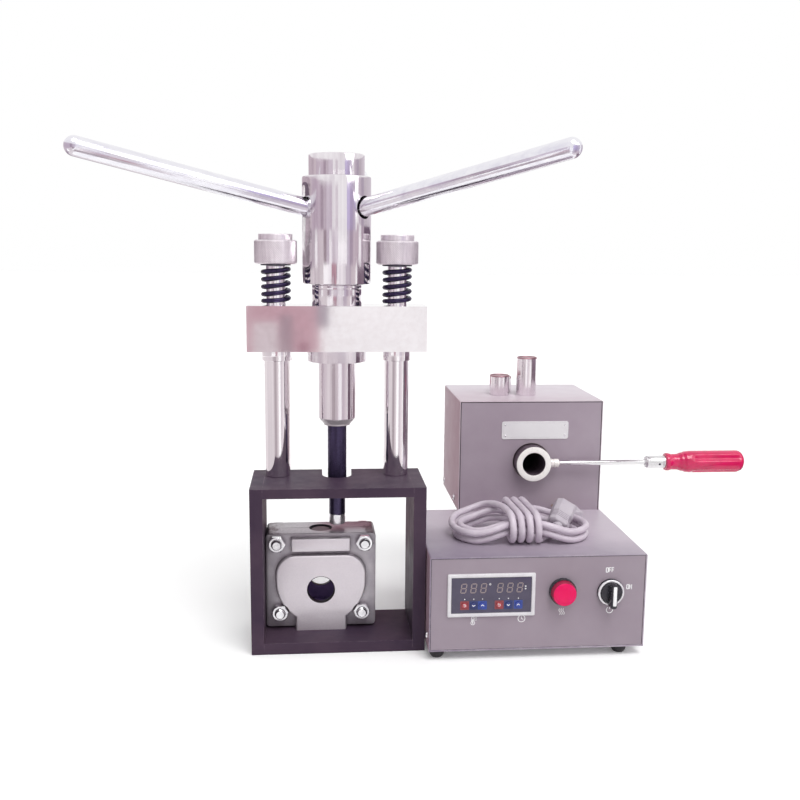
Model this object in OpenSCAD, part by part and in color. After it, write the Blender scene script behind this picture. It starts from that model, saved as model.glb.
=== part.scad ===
// Denture injection press with its cartridge heater, in millimetres.
// The origin is on the table, under the axis of the press screw. +Z is up, +Y points to the rear.

/* [Press frame] */
// Overall width of the frame
frame_w = 180; // [170:1:220]
// Depth of the frame in front of the screw axis
frame_front = 62; // [50:1:90]
// Depth of the frame behind the screw axis
frame_rear = 24; // [22:1:60]
// Overall height of the frame
frame_h = 176; // [165:1:260]
// Thickness of the side plates
side_t = 13; // [8:0.5:13]
// Thickness of the top plate
top_t = 10; // [8:0.5:20]
// Thickness of the base plate
base_t = 12; // [8:0.5:20]
// Width of the slot that the push rod comes down through
slot_w = 32; // [22:1:60]

/* [Pillars and springs] */
// Distance between the two pillars
pillar_gap = 126; // [112:1:126]
// Diameter of the lower part of a pillar
pillar_d = 26; // [22:0.5:26]
// Diameter of the threaded neck that the crossbeam slides on
neck_d = 20; // [16:0.5:21]
// Diameter of the shoulder under the crossbeam
shoulder_d = 30.5; // [27:0.5:36]
// Height of that shoulder
shoulder_h = 11; // [4:0.5:20]
// Height from the frame to the underside of the crossbeam
pillar_h = 135; // [110:1:180]
// Wire of the pressure springs
spring_wire = 4.6; // [2:0.1:4.9]
// Mean diameter of the pressure springs
spring_d = 26.4; // [26:0.1:34]
// Height of the fitted springs
spring_h = 39.9; // [36:0.1:60]
// Turns of a spring
spring_turns = 4.75; // [3:0.25:5]
// Thickness of the washer on top of a spring
washer_t = 1.5; // [1:0.1:3]
// Diameter of the washer on top of a spring
washer_d = 31; // [26:0.5:40]
// Diameter of a pillar nut
nut_d = 44; // [36:0.5:50]
// Height of a pillar nut without its boss
nut_h = 24.5; // [15:0.5:26]
// Diameter of the boss of a pillar nut
boss_d = 35; // [26:0.5:40]
// Height of the boss of a pillar nut
boss_h = 6; // [3:0.5:8]

/* [Crossbeam, tube and ram] */
// Length of the crossbeam
beam_w = 185; // [170:1:230]
// Depth of the crossbeam
beam_d = 49; // [48:1:70]
// Height of the crossbeam
beam_h = 47; // [35:1:60]
// Diameter of the flange under the crossbeam
flange_d = 62; // [54:0.5:80]
// Height of the flange under the crossbeam
flange_h = 12; // [6:0.5:20]
// Outer diameter of the guide tube
tube_d = 46; // [44:0.5:50]
// Length of the guide tube above the crossbeam
tube_rise = 114; // [80:1:114]
// Outer diameter of the lock ring on the crossbeam
ring_d = 52; // [51:0.5:60]
// Height of the lock ring
ring_h = 21; // [10:0.5:30]
// Diameter of the ram
ram_d = 39; // [30:0.5:40]
// Length of ram below the flange
ram_drop = 68; // [40:1:75]
// Diameter of the push rod in the ram
rod_d = 20; // [18:0.5:24]
// Diameter of the lower part of the push rod
rod_tip_d = 17.3; // [12:0.1:18]
// Length of the push rod below the ram
rod_drop = 109; // [70:1:109]

/* [Hub and spokes] */
// Diameter of the hub
hub_d = 71; // [64:0.5:80]
// Height of the hub
hub_h = 109; // [105:1:130]
// Gap between the hub and the lock ring
hub_gap = 1; // [0.5:0.1:4]
// Diameter of the cap
cap_d = 57.6; // [50:0.1:62]
// Height of the cap
cap_h = 22; // [21:1:30]
// Diameter of a spoke
spoke_d = 19; // [14:0.5:20]
// Distance from the screw axis to the end dome of a spoke
spoke_reach = 263; // [180:1:320]
// Rise of the spokes in degrees
spoke_slope = 12.4; // [0:0.1:14]
// Direction of the first spoke in degrees
spoke_turn = -38; // [-60:1:60]

/* [Flask] */
// Width of the flask
flask_w = 117; // [112:1:117]
// Height of the flask over its foot
flask_h = 105; // [100:1:106]
// Thickness of one half at its rim
half_t = 22; // [16:0.5:22]
// How far the raised panel of a half stands out
panel_rise = 7; // [4:0.5:8]
// Wall around the mould cavity
flask_wall = 6; // [4:0.5:8]
// Diameter of the hole in the middle of each half
window_d = 28; // [16:0.5:34]
// Diameter of the filling hole in the top
sprue_d = 22; // [12:0.5:26]
// Thread of the flask bolts
bolt_d = 10; // [8:1:11]
// Width across flats of the bolt heads and nuts
bolt_af = 16; // [14:0.5:17]

/* [Control box] */
// Gap between the frame and the left side of the box
case_gap = 1; // [1:0.5:50]
// Distance from the screw axis to the front of the box
case_front = 89; // [80:1:100]
// Width of the box
case_w = 225; // [225:1:300]
// Depth of the box
case_d = 176; // [176:1:220]
// Height of the box over its feet
case_h = 100; // [94:1:130]
// Height of the feet
foot_h = 10; // [6:0.5:20]
// Diameter of the feet
foot_d = 16; // [12:0.5:20]
// Thickness of the sheet metal
sheet = 1.5; // [1:0.1:2]
// Width of the display bezel
bezel_w = 90.2; // [90:0.1:96]
// Height of the display bezel
bezel_h = 45.4; // [45:0.1:50]
// Diameter of the panel holes for the lamp and the switch
panel_hole_d = 22; // [20:0.5:22]

/* [Furnace] */
// Width of the furnace box
furnace_w = 170; // [150:1:170]
// Depth of the furnace box
furnace_d = 130; // [125:1:160]
// Height of the furnace box
furnace_h = 132; // [115:1:150]
// How much of the furnace box stands on the control box
furnace_lap = 10; // [10:1:60]
// Height of the furnace tube over the control box
mouth_h = 60; // [55:1:65]
// Inner diameter of the furnace tube
furnace_bore = 42; // [42:0.5:46]
// Width of the stand behind the control box
stand_w = 115; // [90:1:120]
// Depth of the stand behind the control box
stand_d = 103; // [80:1:110]

/* [Sleeve tool and cartridges] */
// Outer diameter of the injection sleeve
sleeve_d = 41.2; // [38:0.1:41.2]
// Bore of the injection sleeve
sleeve_bore = 26.6; // [20:0.1:28]
// Length of the injection sleeve
sleeve_l = 90; // [60:1:100]
// How far the sleeve stands out of the furnace
sleeve_out = 16; // [14:0.5:22]
// Diameter of the handle rod
handle_d = 6; // [5:0.5:8]
// Length of the handle rod and its collar up to the grip
handle_l = 138; // [90:1:180]
// Length of the grip
grip_l = 95; // [80:1:120]
// Diameter of the grip
grip_d = 26; // [22:0.5:30]
// Diameter of the cartridges
cartridge_d = 24; // [20:0.5:24]

/* [Mains lead] */
// Diameter of the lead
cord_d = 7.2; // [6:0.1:7.4]

/* [Hidden] */
$fn = 64;
fit = 0.05;
seat = 0.3;

// Levels of the press
beam_z = frame_h + pillar_h;
beam_top = beam_z + beam_h;
spring_z = beam_top + seat;
washer_z = spring_z + spring_h + seat;
nut_z = washer_z + washer_t;
nut_top = nut_z + nut_h + boss_h;
flange_z = beam_z - flange_h;
tube_top = beam_top + tube_rise;
hub_z = beam_top + ring_h + hub_gap;
hub_top = hub_z + hub_h;
hub_roof = 12;
washer_gap = 3;
ram_top = hub_top - hub_roof - washer_gap;
ram_z = flange_z - ram_drop;
rod_z = ram_z - rod_drop;
pillar_x = pillar_gap / 2;
inner_x = frame_w / 2 - side_t;
spigot_d = 16;
ram_neck_d = 20;
cap_wall = 4.8;

// Fasteners of the frame
screw_d = 5;
screw_head_d = 8.6;
screw_head_h = 5;
screw_bite = 14;
frame_screw_y = [-frame_front + 17, frame_rear - 8];
frame_screw_z = [base_t / 2, frame_h - top_t / 2];

// Flask, standing by the left side plate
flask_x = -inner_x + flask_w / 2 + 0.5;
flask_z = base_t;
flask_ear_z = 2;
panel_r = 22;
panel_top = flask_h - 21.5;
panel_side = flask_w / 2 - 10;
foot_half_w = 27.5;
foot_top = 11;
pad_half_w = 32;
pad_gap = 2.5;
pad_drop = 3;
window_z = 45;
bolt_top = [flask_w / 2 - 12, flask_h - 9.5];
bolt_low = [flask_w / 2 - 15, 19.5];
bolt_head_h = 6.4;
bolt_nut_h = 8;
bolt_tail = 4;

// Control box and what its panel carries
case_x = frame_w / 2 + case_gap;
case_z = foot_h;
case_top = case_z + case_h;
case_y = -case_front;
case_back = case_y + case_d;
case_right = case_x + case_w;
panel_t = 2;
panel_set = 0.5;
panel_y = case_y + panel_set;
reveal = 0.3;
bezel_x = case_x + 18.4;
bezel_z = case_z + 37;
bezel_rim = 3.8;
bezel_t = 2.2;
bezel_deep = 4;
window_t = 1.5;
key_d = 6;
key_travel = 0.8;
key_z = bezel_z + 12.3;
key_x = [for (k = [0, 9.2, 18.3, 35.5, 45, 55.2]) bezel_x + 17.6 + k];
board_t = 1.6;
lamp_at = [case_x + 137, case_z + 62];
selector_at = [case_x + 187.5, case_z + 60];
ring_r = 14;
cap_r = 13.3;
foot_at = [for (x = [10, 203], y = [14, case_d - 12]) [case_x + x, case_y + y]];

// Furnace box, standing over the rear edge of the control box
furnace_y = case_back - furnace_lap;
furnace_back = furnace_y + furnace_d;
furnace_right = case_right - 2;
furnace_x = furnace_right - furnace_w;
furnace_top = case_top + furnace_h;
mouth_x = furnace_x + furnace_w / 2 + 0.8;
mouth_z = case_top + mouth_h;
furnace_plate = 2;
tube_wall = 6;
winding_t = 2.7;
insulation_gap = 5;
probe_d = 3;
probe_head_d = 12;
probe_head_t = 8;
vent_count = 8;
vent_w = 4;
vent_h = 22;
vent_pitch = 12;
vent_z = 96;
skirt = 18;
side_screw_d = 3.6;
side_screw_head = 7;
cover_screws = [for (y = [33, furnace_d - 10]) [furnace_y + y, case_top + 9]];
case_screws_at = [for (y = [16, case_d - 22]) [case_y + y, case_z + 12]];
stand_x = furnace_x + 31;
stand_back = case_back + stand_d;
stand_foot_at = [for (x = [10, stand_w - 10]) [stand_x + x, stand_back - 10]];
inlet_at = [stand_x + stand_w / 2, case_z + 51];
inlet_w = 28;
inlet_h = 20;
socket_w = 24.6;
socket_h = 16.6;
socket_deep = 16;

// Sleeve tool
sleeve_y = furnace_y - sleeve_out;
sleeve_back_d = sleeve_d - 0.4;
handle_y = sleeve_y + 5.5;
handle_x = mouth_x + sleeve_d / 2 - 1;
grip_x = handle_x + handle_l;
ferrule_d = 14.8;
ferrule_l = 23.5;
stem_d = 10;
stem_l = 10.5;

// Cartridges: x from the furnace's left side, y from its front, height
cartridge_at = [[88, 48, 46], [55.5, 50, 24], [62.5, 73.3, 19]];

// The lead: from the connector it binds the hank's waist, then it lies in loops to the plug
hank_at = [196, -18];
hank_base = case_top + seat + cord_d / 2;
hank_half_l = 73;
hank_end_r = 37;
hank_waist = 25;
layer_step = cord_d + 1.7;
loop_from = 0.36;
loop_to = 3;
loop_rings = 24;
// Inset of the loops from the outline of the hank, against the number of turns laid
loop_insets = [[1.05, 0], [1.36, cord_d + 1.3], [1.75, cord_d + 4], [loop_to, 0]];
loop_drop_at = 1.75;
waist_lift = 9;
waist_flat = 16;
waist_slope = 40;
wrap_from_x = 210;
wrap_step = 9;
wrap_flat = 27;
wrap_r = 14;
wrap_over = 13;
wrap_under = 35;
plug_half_w = 15;
plug_l = 29;
plug_h = 13;
plug_relief = 12;
plug_pin = [4, 18, 9.5];
plug_root = [265.5, 26, case_top + seat + plug_h / 2];
connector_root = [237.3, -25.7, 122.5];
connector_dir = [0.47, 0.717, 0.515];
connector_roll = -54;
connector_l = 32;
connector_w = 24;
connector_t = 15.5;
// End of the connector's strain relief and the way the lead leaves it, chosen by eye
relief_end = [222, -38, 115];
relief_way = [-0.7, -0.7, -0.1];

// A box between two opposite corners
module block(low, high) {
    translate(low) cube(high - low);
}

// A round bar or hole along Y, from y0 to y1
module along_y(x, z, d, y0, y1) {
    translate([x, y0, z]) rotate([-90, 0, 0]) cylinder(d = d, h = y1 - y0);
}

// A round bar or hole along Z, from z0 to z1
module along_z(x, y, d, z0, z1) {
    translate([x, y, z0]) cylinder(d = d, h = z1 - z0);
}

// A bevelled disc with its axis along Z
module turned(d, h, low = 0, high = 0) {
    rotate_extrude() polygon([[0, 0], [d / 2 - low, 0], [d / 2, low], [d / 2, h - high],
        [d / 2 - high, h], [0, h]]);
}

// A rectangle in X and Y, centred, with true arcs at its corners
module rounded(w, h, r) {
    square([w - 2 * r, h], center = true);
    square([w, h - 2 * r], center = true);
    for (x = [-1, 1], y = [-1, 1]) translate([x * (w / 2 - r), y * (h / 2 - r)]) circle(r);
}

// Unit vector, and one made square to a direction
function unit(v) = v / norm(v);
function square_to(v, t) = unit(v - (v * t) * t);

// Direction of a path at each of its points
function directions(p) = [for (i = [0 : len(p) - 1])
    unit(p[min(i + 1, len(p) - 1)] - p[max(i - 1, 0)])];

// Normals carried along a path without twist
function carried(t, n0) = [for (i = 0, n = square_to(n0, t[0]); i < len(t);
    i = i + 1, n = i < len(t) ? square_to(n, t[i]) : n) n];

// A tube of triangles swept along the points of a path, from radius r0 to radius r1
module swept_tube(path, r0, r1, sides, n0 = [0, 0, 1]) {
    t = directions(path);
    n = carried(t, n0);
    rings = len(path);
    skin = [for (i = [0 : rings - 1], k = [0 : sides - 1])
        path[i] + (r0 + (r1 - r0) * i / (rings - 1))
            * (cos(360 * k / sides) * n[i] + sin(360 * k / sides) * cross(t[i], n[i]))];
    ends = [path[0], path[rings - 1]];
    near = rings * sides;
    faces = [
        for (i = [0 : rings - 2], k = [0 : sides - 1]) let (
            a = i * sides + k,
            b = i * sides + (k + 1) % sides
        ) each [[a, a + sides, b], [b, a + sides, b + sides]],
        for (k = [0 : sides - 1]) [near, k, (k + 1) % sides],
        for (k = [0 : sides - 1]) let (base = (rings - 1) * sides)
            [near + 1, base + (k + 1) % sides, base + k]];
    polyhedron(concat(skin, ends), faces, convexity = 10);
}

// Least distance between stretches of a path that are further apart along it than skip points
function self_gap(p, skip) = min([for (i = [0 : len(p) - 1 - skip], j = [i + skip : len(p) - 1])
    norm(p[i] - p[j])]);

// Height of a spring's wire at a given turn: both ends are wound close, the middle is open
close_turns = 0.6;
close_pitch = spring_wire + 0.5;
open_pitch = (spring_h - spring_wire - 2 * close_turns * close_pitch) / (spring_turns - 2 * close_turns);
function spring_rise(u) = close_pitch * min(u, close_turns)
    + open_pitch * max(0, min(u, spring_turns - close_turns) - close_turns)
    + close_pitch * max(0, u - (spring_turns - close_turns));
spring_rings = 8;
function spring_point(u) = [spring_d / 2 * cos(360 * u), spring_d / 2 * sin(360 * u),
    spring_wire / 2 + spring_rise(u)];
function spring_end(u, way) = spring_point(u)
    + way * spring_wire * [-sin(360 * u), cos(360 * u), 0];
spring_path = concat([spring_end(0, -1)],
    [for (i = [0 : spring_turns * spring_rings]) spring_point(i / spring_rings)],
    [spring_end(spring_turns, 1)]);

// Plan of the hank: round ends and a drawn-in waist, each a parallel curve at the inset given
hank_c = hank_half_l - hank_end_r;
hank_turn = 2 * atan((hank_end_r - hank_waist) / hank_c);
hank_waist_r = hank_c / sin(hank_turn) - hank_end_r;
function arc_of(r, a) = r * a * PI / 180;
function quarter_end(inset) = arc_of(hank_end_r - inset, 90 + hank_turn);
function quarter_waist(inset) = arc_of(hank_waist_r + inset, hank_turn);
function quarter(f, inset) = let (
    s = f * (quarter_end(inset) + quarter_waist(inset)),
    a = s / arc_of(hank_end_r - inset, 1),
    b = (s - quarter_end(inset)) / arc_of(hank_waist_r + inset, 1)
) s <= quarter_end(inset)
    ? [hank_c + (hank_end_r - inset) * cos(a), (hank_end_r - inset) * sin(a)]
    : [(hank_waist_r + inset) * sin(hank_turn - b),
        hank_waist + hank_waist_r - (hank_waist_r + inset) * cos(hank_turn - b)];
function plan(t, inset) = let (
    q = 4 * (t - floor(t)),
    k = floor(q),
    p = quarter(k % 2 == 0 ? q - k : k + 1 - q, inset)
) [(k == 0 || k == 3 ? 1 : -1) * p.x, (k < 2 ? 1 : -1) * p.y];

// The loops spiral in on the upper layer, come down along a run and spiral out on the lower one
function ease(f) = let (g = min(1, max(0, f))) g * g * (3 - 2 * g);
function loop_layer(t) = 1 - ease(2 * (t - loop_drop_at) + 0.5);
function waist_rise(x) = waist_lift * (1 - ease((abs(x) - waist_flat) / waist_slope));
function loop_point(t) = let (p = plan(t, lookup(t, loop_insets)))
    [hank_at.x + p.x, hank_at.y + p.y, hank_base + waist_rise(p.x) + layer_step * loop_layer(t)
        + cord_d * (1 - ease((t - loop_from) * 5))];

// The binding turns go up the front, over the top, down the rear and back under the hank
wrap_around = 4 * wrap_flat + arc_of(wrap_r, 360);
function wrap_section(s) = let (
    half = wrap_around / 2,
    way = floor(s / half) % 2 == 0 ? 1 : -1,
    u = s - half * floor(s / half),
    a = u / arc_of(wrap_r, 1),
    p = a < 180 ? [-wrap_flat - wrap_r * sin(a), -wrap_r * cos(a)]
        : [u - arc_of(wrap_r, 180) - wrap_flat, wrap_r]
) way * p;
function wrap_point(s) = let (p = wrap_section(s))
    [hank_at.x + wrap_from_x - hank_at.x - wrap_step * s / wrap_around, hank_at.y + p.x,
        hank_base + wrap_r + p.y];
wrap_from = arc_of(wrap_r, wrap_under);
wrap_to = 3 * wrap_around + arc_of(wrap_r, 180) + wrap_flat - wrap_over;
wrap_rings = 60;

// A smooth stretch from a to d that leaves along b - a and arrives along d - c
function bridge(a, b, c, d, f) = pow(1 - f, 3) * a + 3 * f * pow(1 - f, 2) * b
    + 3 * f * f * (1 - f) * c + pow(f, 3) * d;

connector_axis = unit(connector_dir);
relief_out = unit(relief_way);
relief_path = [for (f = [0 : 0.2 : 1]) bridge(connector_root, connector_root - 8 * connector_axis,
    relief_end - 8 * relief_out, relief_end, f)];
tail_from = relief_end + cord_d * relief_out;
tail_to = wrap_point(wrap_from);
tail_way = unit(wrap_point(wrap_from + 1) - tail_to);
over_from = wrap_point(wrap_to);
over_way = unit(over_from - wrap_point(wrap_to - 1));
over_to = loop_point(loop_from);
over_end_way = unit(loop_point(loop_from + 0.01) - over_to);
lead_from = loop_point(loop_to);
lead_way = unit(lead_from - loop_point(loop_to - 0.01));
plug_entry = plug_root - [0, plug_relief, 0];
cord_path = concat(
    [relief_end],
    [for (f = [0 : 0.34 : 0.7]) bridge(tail_from, tail_from + 4 * relief_out, tail_to - 4 * tail_way,
        tail_to, f)],
    [for (i = [0 : wrap_rings]) wrap_point(wrap_from + (wrap_to - wrap_from) * i / wrap_rings)],
    [for (f = [0.2 : 0.2 : 0.9]) bridge(over_from, over_from + 27 * over_way,
        over_to - 15 * over_end_way, over_to, f)],
    [for (i = [0 : loop_rings * (loop_to - loop_from)]) loop_point(loop_from + i / loop_rings)],
    [for (f = [0.35, 0.7]) bridge(lead_from, lead_from + 9 * lead_way, plug_entry - [0, 16, 2.5],
        plug_entry - [0, cord_d, 0], f)],
    [plug_entry - [0, cord_d, 0], plug_entry]);
cord_steps = [for (i = [1 : len(cord_path) - 1]) norm(cord_path[i] - cord_path[i - 1])];
cord_length = cord_steps * [for (s = cord_steps) 1];

echo(spring_gap = self_gap(spring_path, 5) - spring_wire);
echo(hank_gap = self_gap(cord_path, 4) - cord_d);
echo(cord_length = cord_length);

module base_plate() {
    color("#2f2a2f") difference() {
        block([-inner_x, -frame_front, 0], [inner_x, frame_rear, base_t]);
        frame_screw_holes(screw_d + 2 * fit);
    }
}

module side_plates() {
    color("#332c32") difference() {
        for (s = [-1, 1]) {
            x = s * (frame_w - side_t) / 2;
            block([x - side_t / 2, -frame_front, 0], [x + side_t / 2, frame_rear, frame_h]);
        }
        frame_screw_holes(screw_d + 0.5);
        for (s = [-1, 1], y = frame_screw_y, z = frame_screw_z) {
            translate([s * (frame_w / 2 - screw_head_h - seat), y, z]) rotate([0, s * 90, 0])
                cylinder(d = screw_head_d + 0.4, h = side_t);
        }
    }
}

module top_plate() {
    color("#3a3238") difference() {
        block([-inner_x, -frame_front, frame_h - top_t], [inner_x, frame_rear, frame_h]);
        frame_screw_holes(screw_d + 2 * fit);
        for (s = [-1, 1]) along_z(s * pillar_x, 0, spigot_d + 2 * fit, frame_h - top_t - 1, frame_h + 1);
        along_z(0, 0, slot_w, frame_h - top_t - 1, frame_h + 1);
        block([-slot_w / 2, 0, frame_h - top_t - 1], [slot_w / 2, frame_rear + 1, frame_h + 1]);
    }
}

// Cross holes for the screws that hold the side plates
module frame_screw_holes(d) {
    for (s = [-1, 1], y = frame_screw_y, z = frame_screw_z) {
        translate([s * (inner_x - screw_bite - 1), y, z]) rotate([0, s * 90, 0])
            cylinder(d = d, h = side_t + screw_bite + 2);
    }
}

module frame_screws() {
    color("#55505a") for (s = [-1, 1], y = frame_screw_y, z = frame_screw_z) {
        translate([s * (frame_w / 2 - screw_head_h), y, z]) rotate([0, s * 90, 0]) difference() {
            union() {
                cylinder(d = screw_head_d, h = screw_head_h - seat);
                translate([0, 0, screw_head_h - side_t - screw_bite])
                    cylinder(d = screw_d, h = side_t + screw_bite - screw_head_h);
            }
            translate([0, 0, screw_head_h / 2]) cylinder(d = screw_d - 0.5, h = screw_head_h, $fn = 6);
        }
    }
}

// One turned pillar: threaded spigot, body, shoulder and threaded neck
module pillar_profile() {
    rotate_extrude() polygon([[0, -top_t], [spigot_d / 2, -top_t], [spigot_d / 2, 0],
        [pillar_d / 2, 0], [pillar_d / 2, pillar_h - shoulder_h],
        [shoulder_d / 2, pillar_h - shoulder_h], [shoulder_d / 2, pillar_h], [neck_d / 2, pillar_h],
        [neck_d / 2, nut_top - frame_h - 3.5], [neck_d / 2 - 1, nut_top - frame_h - 2.5],
        [0, nut_top - frame_h - 2.5]]);
}

module pillars() {
    color("#c8c4cc") for (s = [-1, 1]) translate([s * pillar_x, 0, frame_h]) pillar_profile();
}

module crossbeam() {
    color("#d6d0d4") difference() {
        block([-beam_w / 2, -beam_d / 2, beam_z], [beam_w / 2, beam_d / 2, beam_top]);
        for (s = [-1, 1]) along_z(s * pillar_x, 0, neck_d + 0.16, beam_z - 1, beam_top + 1);
        along_z(0, 0, tube_d + 2 * fit, beam_z - 1, beam_top + 1);
    }
}

module guide_tube() {
    color("#c4bec6") difference() {
        union() {
            intersection() {
                translate([0, 0, flange_z]) turned(flange_d, flange_h, 1.5, 0);
                block([-flange_d, -beam_d / 2, flange_z - 1], [flange_d, beam_d / 2, beam_z + 1]);
            }
            along_z(0, 0, tube_d, beam_z - 1, tube_top);
        }
        along_z(0, 0, ram_d + 0.16, flange_z - 1, tube_top + 1);
    }
}

module lock_ring() {
    color("#c9c3ca") difference() {
        translate([0, 0, beam_top]) turned(ring_d, ring_h, 0, 0.6);
        along_z(0, 0, tube_d + 2 * fit, beam_top - 1, beam_top + ring_h + 1);
    }
}

module pressure_spring(s) {
    color("#1d1b22") translate([s * pillar_x, 0, spring_z])
        swept_tube(spring_path, spring_wire / 2, spring_wire / 2, 6);
}

module spring_left() {
    pressure_spring(-1);
}

module spring_right() {
    pressure_spring(1);
}

module spring_washer(s) {
    color("#26232a") difference() {
        along_z(s * pillar_x, 0, washer_d, washer_z, nut_z);
        along_z(s * pillar_x, 0, neck_d + 0.6, washer_z - 1, nut_z + 1);
    }
}

module thrust_washer_left() {
    spring_washer(-1);
}

module thrust_washer_right() {
    spring_washer(1);
}

module pillar_nut(s) {
    color("#b9b4ba") difference() {
        union() {
            translate([s * pillar_x, 0, nut_z]) turned(nut_d, nut_h, 1.2, 1.2);
            translate([s * pillar_x, 0, nut_z + nut_h - 1]) turned(boss_d, boss_h + 1, 0, 0.8);
        }
        along_z(s * pillar_x, 0, neck_d + 0.12, nut_z - 1, nut_top + 1);
    }
}

module knurled_nut_left() {
    pillar_nut(-1);
}

module knurled_nut_right() {
    pillar_nut(1);
}

module ram() {
    bevel = 5.5;
    color("#c6c0c8") difference() {
        union() {
            translate([0, 0, ram_z]) turned(ram_d, ram_top - ram_z, bevel, 0);
            along_z(0, 0, ram_neck_d, ram_top - 1, hub_top + cap_h - 8);
        }
        along_z(0, 0, spigot_d + 2 * fit, ram_z - 1, ram_z + 22);
    }
}

module ram_nut() {
    nut_af = 30;
    color("#8f8b92") difference() {
        along_hex(nut_af, hub_top + 2, hub_top + 12);
        along_z(0, 0, ram_neck_d + 2 * fit, hub_top, hub_top + 14);
    }
}

// A hexagonal bar along Z, given its width across flats
module along_hex(af, z0, z1) {
    translate([0, 0, z0]) cylinder(d = af / cos(30), h = z1 - z0, $fn = 6);
}

module push_rod() {
    step_z = frame_h - top_t + 4;
    color("#2b2733") rotate_extrude() polygon([[0, rod_z], [rod_tip_d / 2 - 1, rod_z],
        [rod_tip_d / 2, rod_z + 1], [rod_tip_d / 2, step_z - 2], [rod_d / 2, step_z],
        [rod_d / 2, ram_z], [spigot_d / 2, ram_z], [spigot_d / 2, ram_z + 20], [0, ram_z + 20]]);
}

module hub_thrust_washers() {
    color("#b08d4a") difference() {
        union() {
            along_z(0, 0, ram_d - 1, ram_top, ram_top + washer_gap);
            along_z(0, 0, ram_d - 7, hub_top, hub_top + 2);
        }
        along_z(0, 0, ram_neck_d + 2 * fit, ram_top - 1, hub_top + 3);
    }
}

// Height of the spokes' axes where they would cross the screw axis
spoke_root = hub_top - 39.3;
spoke_seat = hub_d / 2 - 5.5;

// Places its children along each of the three spokes, with +X outwards
module each_spoke() {
    for (k = [0 : 2]) translate([0, 0, spoke_root]) rotate([0, -spoke_slope, spoke_turn + 120 * k])
        children();
}

module hub() {
    color("#cbc6ce") difference() {
        translate([0, 0, hub_z]) turned(hub_d, hub_h, 0.8, 2);
        along_z(0, 0, tube_d + 0.16, hub_z - 1, hub_top - hub_roof);
        along_z(0, 0, ram_neck_d + 0.2, hub_z, hub_top + 1);
        each_spoke() rotate([0, 90, 0]) {
            translate([0, 0, spoke_seat - seat]) cylinder(d = spoke_d + 0.2, h = hub_d);
            translate([0, 0, spoke_seat - 5.4]) cylinder(d = 12 + 2 * fit, h = 8);
        }
    }
}

module hub_cap() {
    color("#d2ccd4") difference() {
        translate([0, 0, hub_top]) turned(cap_d, cap_h, 0.5, 1.6);
        along_z(0, 0, cap_d - 2 * cap_wall, hub_top - 1, hub_top + cap_h - 4);
    }
}

module spokes() {
    color("#cfcbd4") each_spoke() rotate([0, 90, 0]) {
        rotate_extrude() {
            polygon([[0, spoke_seat - 5], [6, spoke_seat - 5], [6, spoke_seat], [spoke_d / 2, spoke_seat],
                [spoke_d / 2, spoke_reach], [0, spoke_reach]]);
            intersection() {
                translate([0, spoke_reach]) circle(spoke_d / 2);
                translate([0, spoke_reach - 1]) square([spoke_d, spoke_d]);
            }
        }
    }
}

// Outline of a flask half's raised panel in X and Z, drawn in by the inset given
module panel_outline(inset, foot) {
    r = panel_r - inset;
    c = [panel_side - panel_r, panel_top - panel_r];
    corner = [foot_half_w - inset, foot_top + inset];
    reach = corner - c;
    a = atan2(reach.y, reach.x) + acos(r / norm(reach));
    touch = c + r * [cos(a), sin(a)];
    for (s = [-1, 1]) translate([s * c.x, c.y]) circle(r);
    polygon([[-c.x, c.y + r], [c.x, c.y + r], touch, corner, [corner.x, foot], [-corner.x, foot],
        [-corner.x, corner.y], [-touch.x, touch.y]]);
}

// Extrudes an outline in X and Z along Y, from y0 to y1, in the flask's place
module flask_slab(y0, y1) {
    translate([flask_x, y1, flask_z]) rotate([90, 0, 0]) linear_extrude(y1 - y0) children();
}

// Bolt positions as seen from the front
flask_bolt_at = [for (s = [-1, 1], p = [bolt_top, bolt_low]) [flask_x + s * p.x, flask_z + p.y]];

module flask_half() {
    difference() {
        union() {
            flask_slab(-half_t, 0) translate([0, (flask_h + flask_ear_z) / 2])
                rounded(flask_w, flask_h - flask_ear_z, 4);
            flask_slab(-half_t - panel_rise, -1) panel_outline(0, 0);
            flask_slab(-half_t - panel_rise, -half_t + 1) translate([-pad_half_w, panel_top + pad_gap])
                square([2 * pad_half_w, flask_h - pad_drop - panel_top - pad_gap]);
        }
        flask_slab(-half_t - panel_rise + flask_wall, 1) panel_outline(flask_wall, foot_top + flask_wall);
        along_y(flask_x, flask_z + window_z, window_d, -half_t - panel_rise - 1, 1);
        along_z(flask_x, 0, sprue_d, flask_z + panel_top - panel_r, flask_z + flask_h + 1);
        for (p = flask_bolt_at) along_y(p.x, p.y, bolt_d + 0.6, -half_t - 1, 1);
    }
}

module flask_front() {
    color("#b4adb4") flask_half();
}

module flask_rear() {
    color("#aea7ae") mirror([0, 1, 0]) flask_half();
}

module flask_bolts() {
    color("#d8d6da") for (p = flask_bolt_at) {
        along_y(p.x, p.y, bolt_d, -half_t - bolt_nut_h - bolt_tail, half_t + 1);
        translate([p.x, half_t + bolt_head_h, p.y]) rotate([90, 0, 0])
            cylinder(d = bolt_af / cos(30), h = bolt_head_h, $fn = 6);
        difference() {
            translate([p.x, -half_t, p.y]) rotate([90, 0, 0])
                cylinder(d = bolt_af / cos(30), h = bolt_nut_h, $fn = 6);
            along_y(p.x, p.y, bolt_d + 2 * fit, -half_t - bolt_nut_h - 1, -half_t + 1);
        }
    }
}

// Holes along X for the cover screws of the control box or of the furnace
module side_screw_holes(x0, x1, places) {
    for (p = places) translate([x0, p.x, p.y]) rotate([0, 90, 0])
        cylinder(d = side_screw_d + 2 * fit, h = x1 - x0);
}

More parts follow.
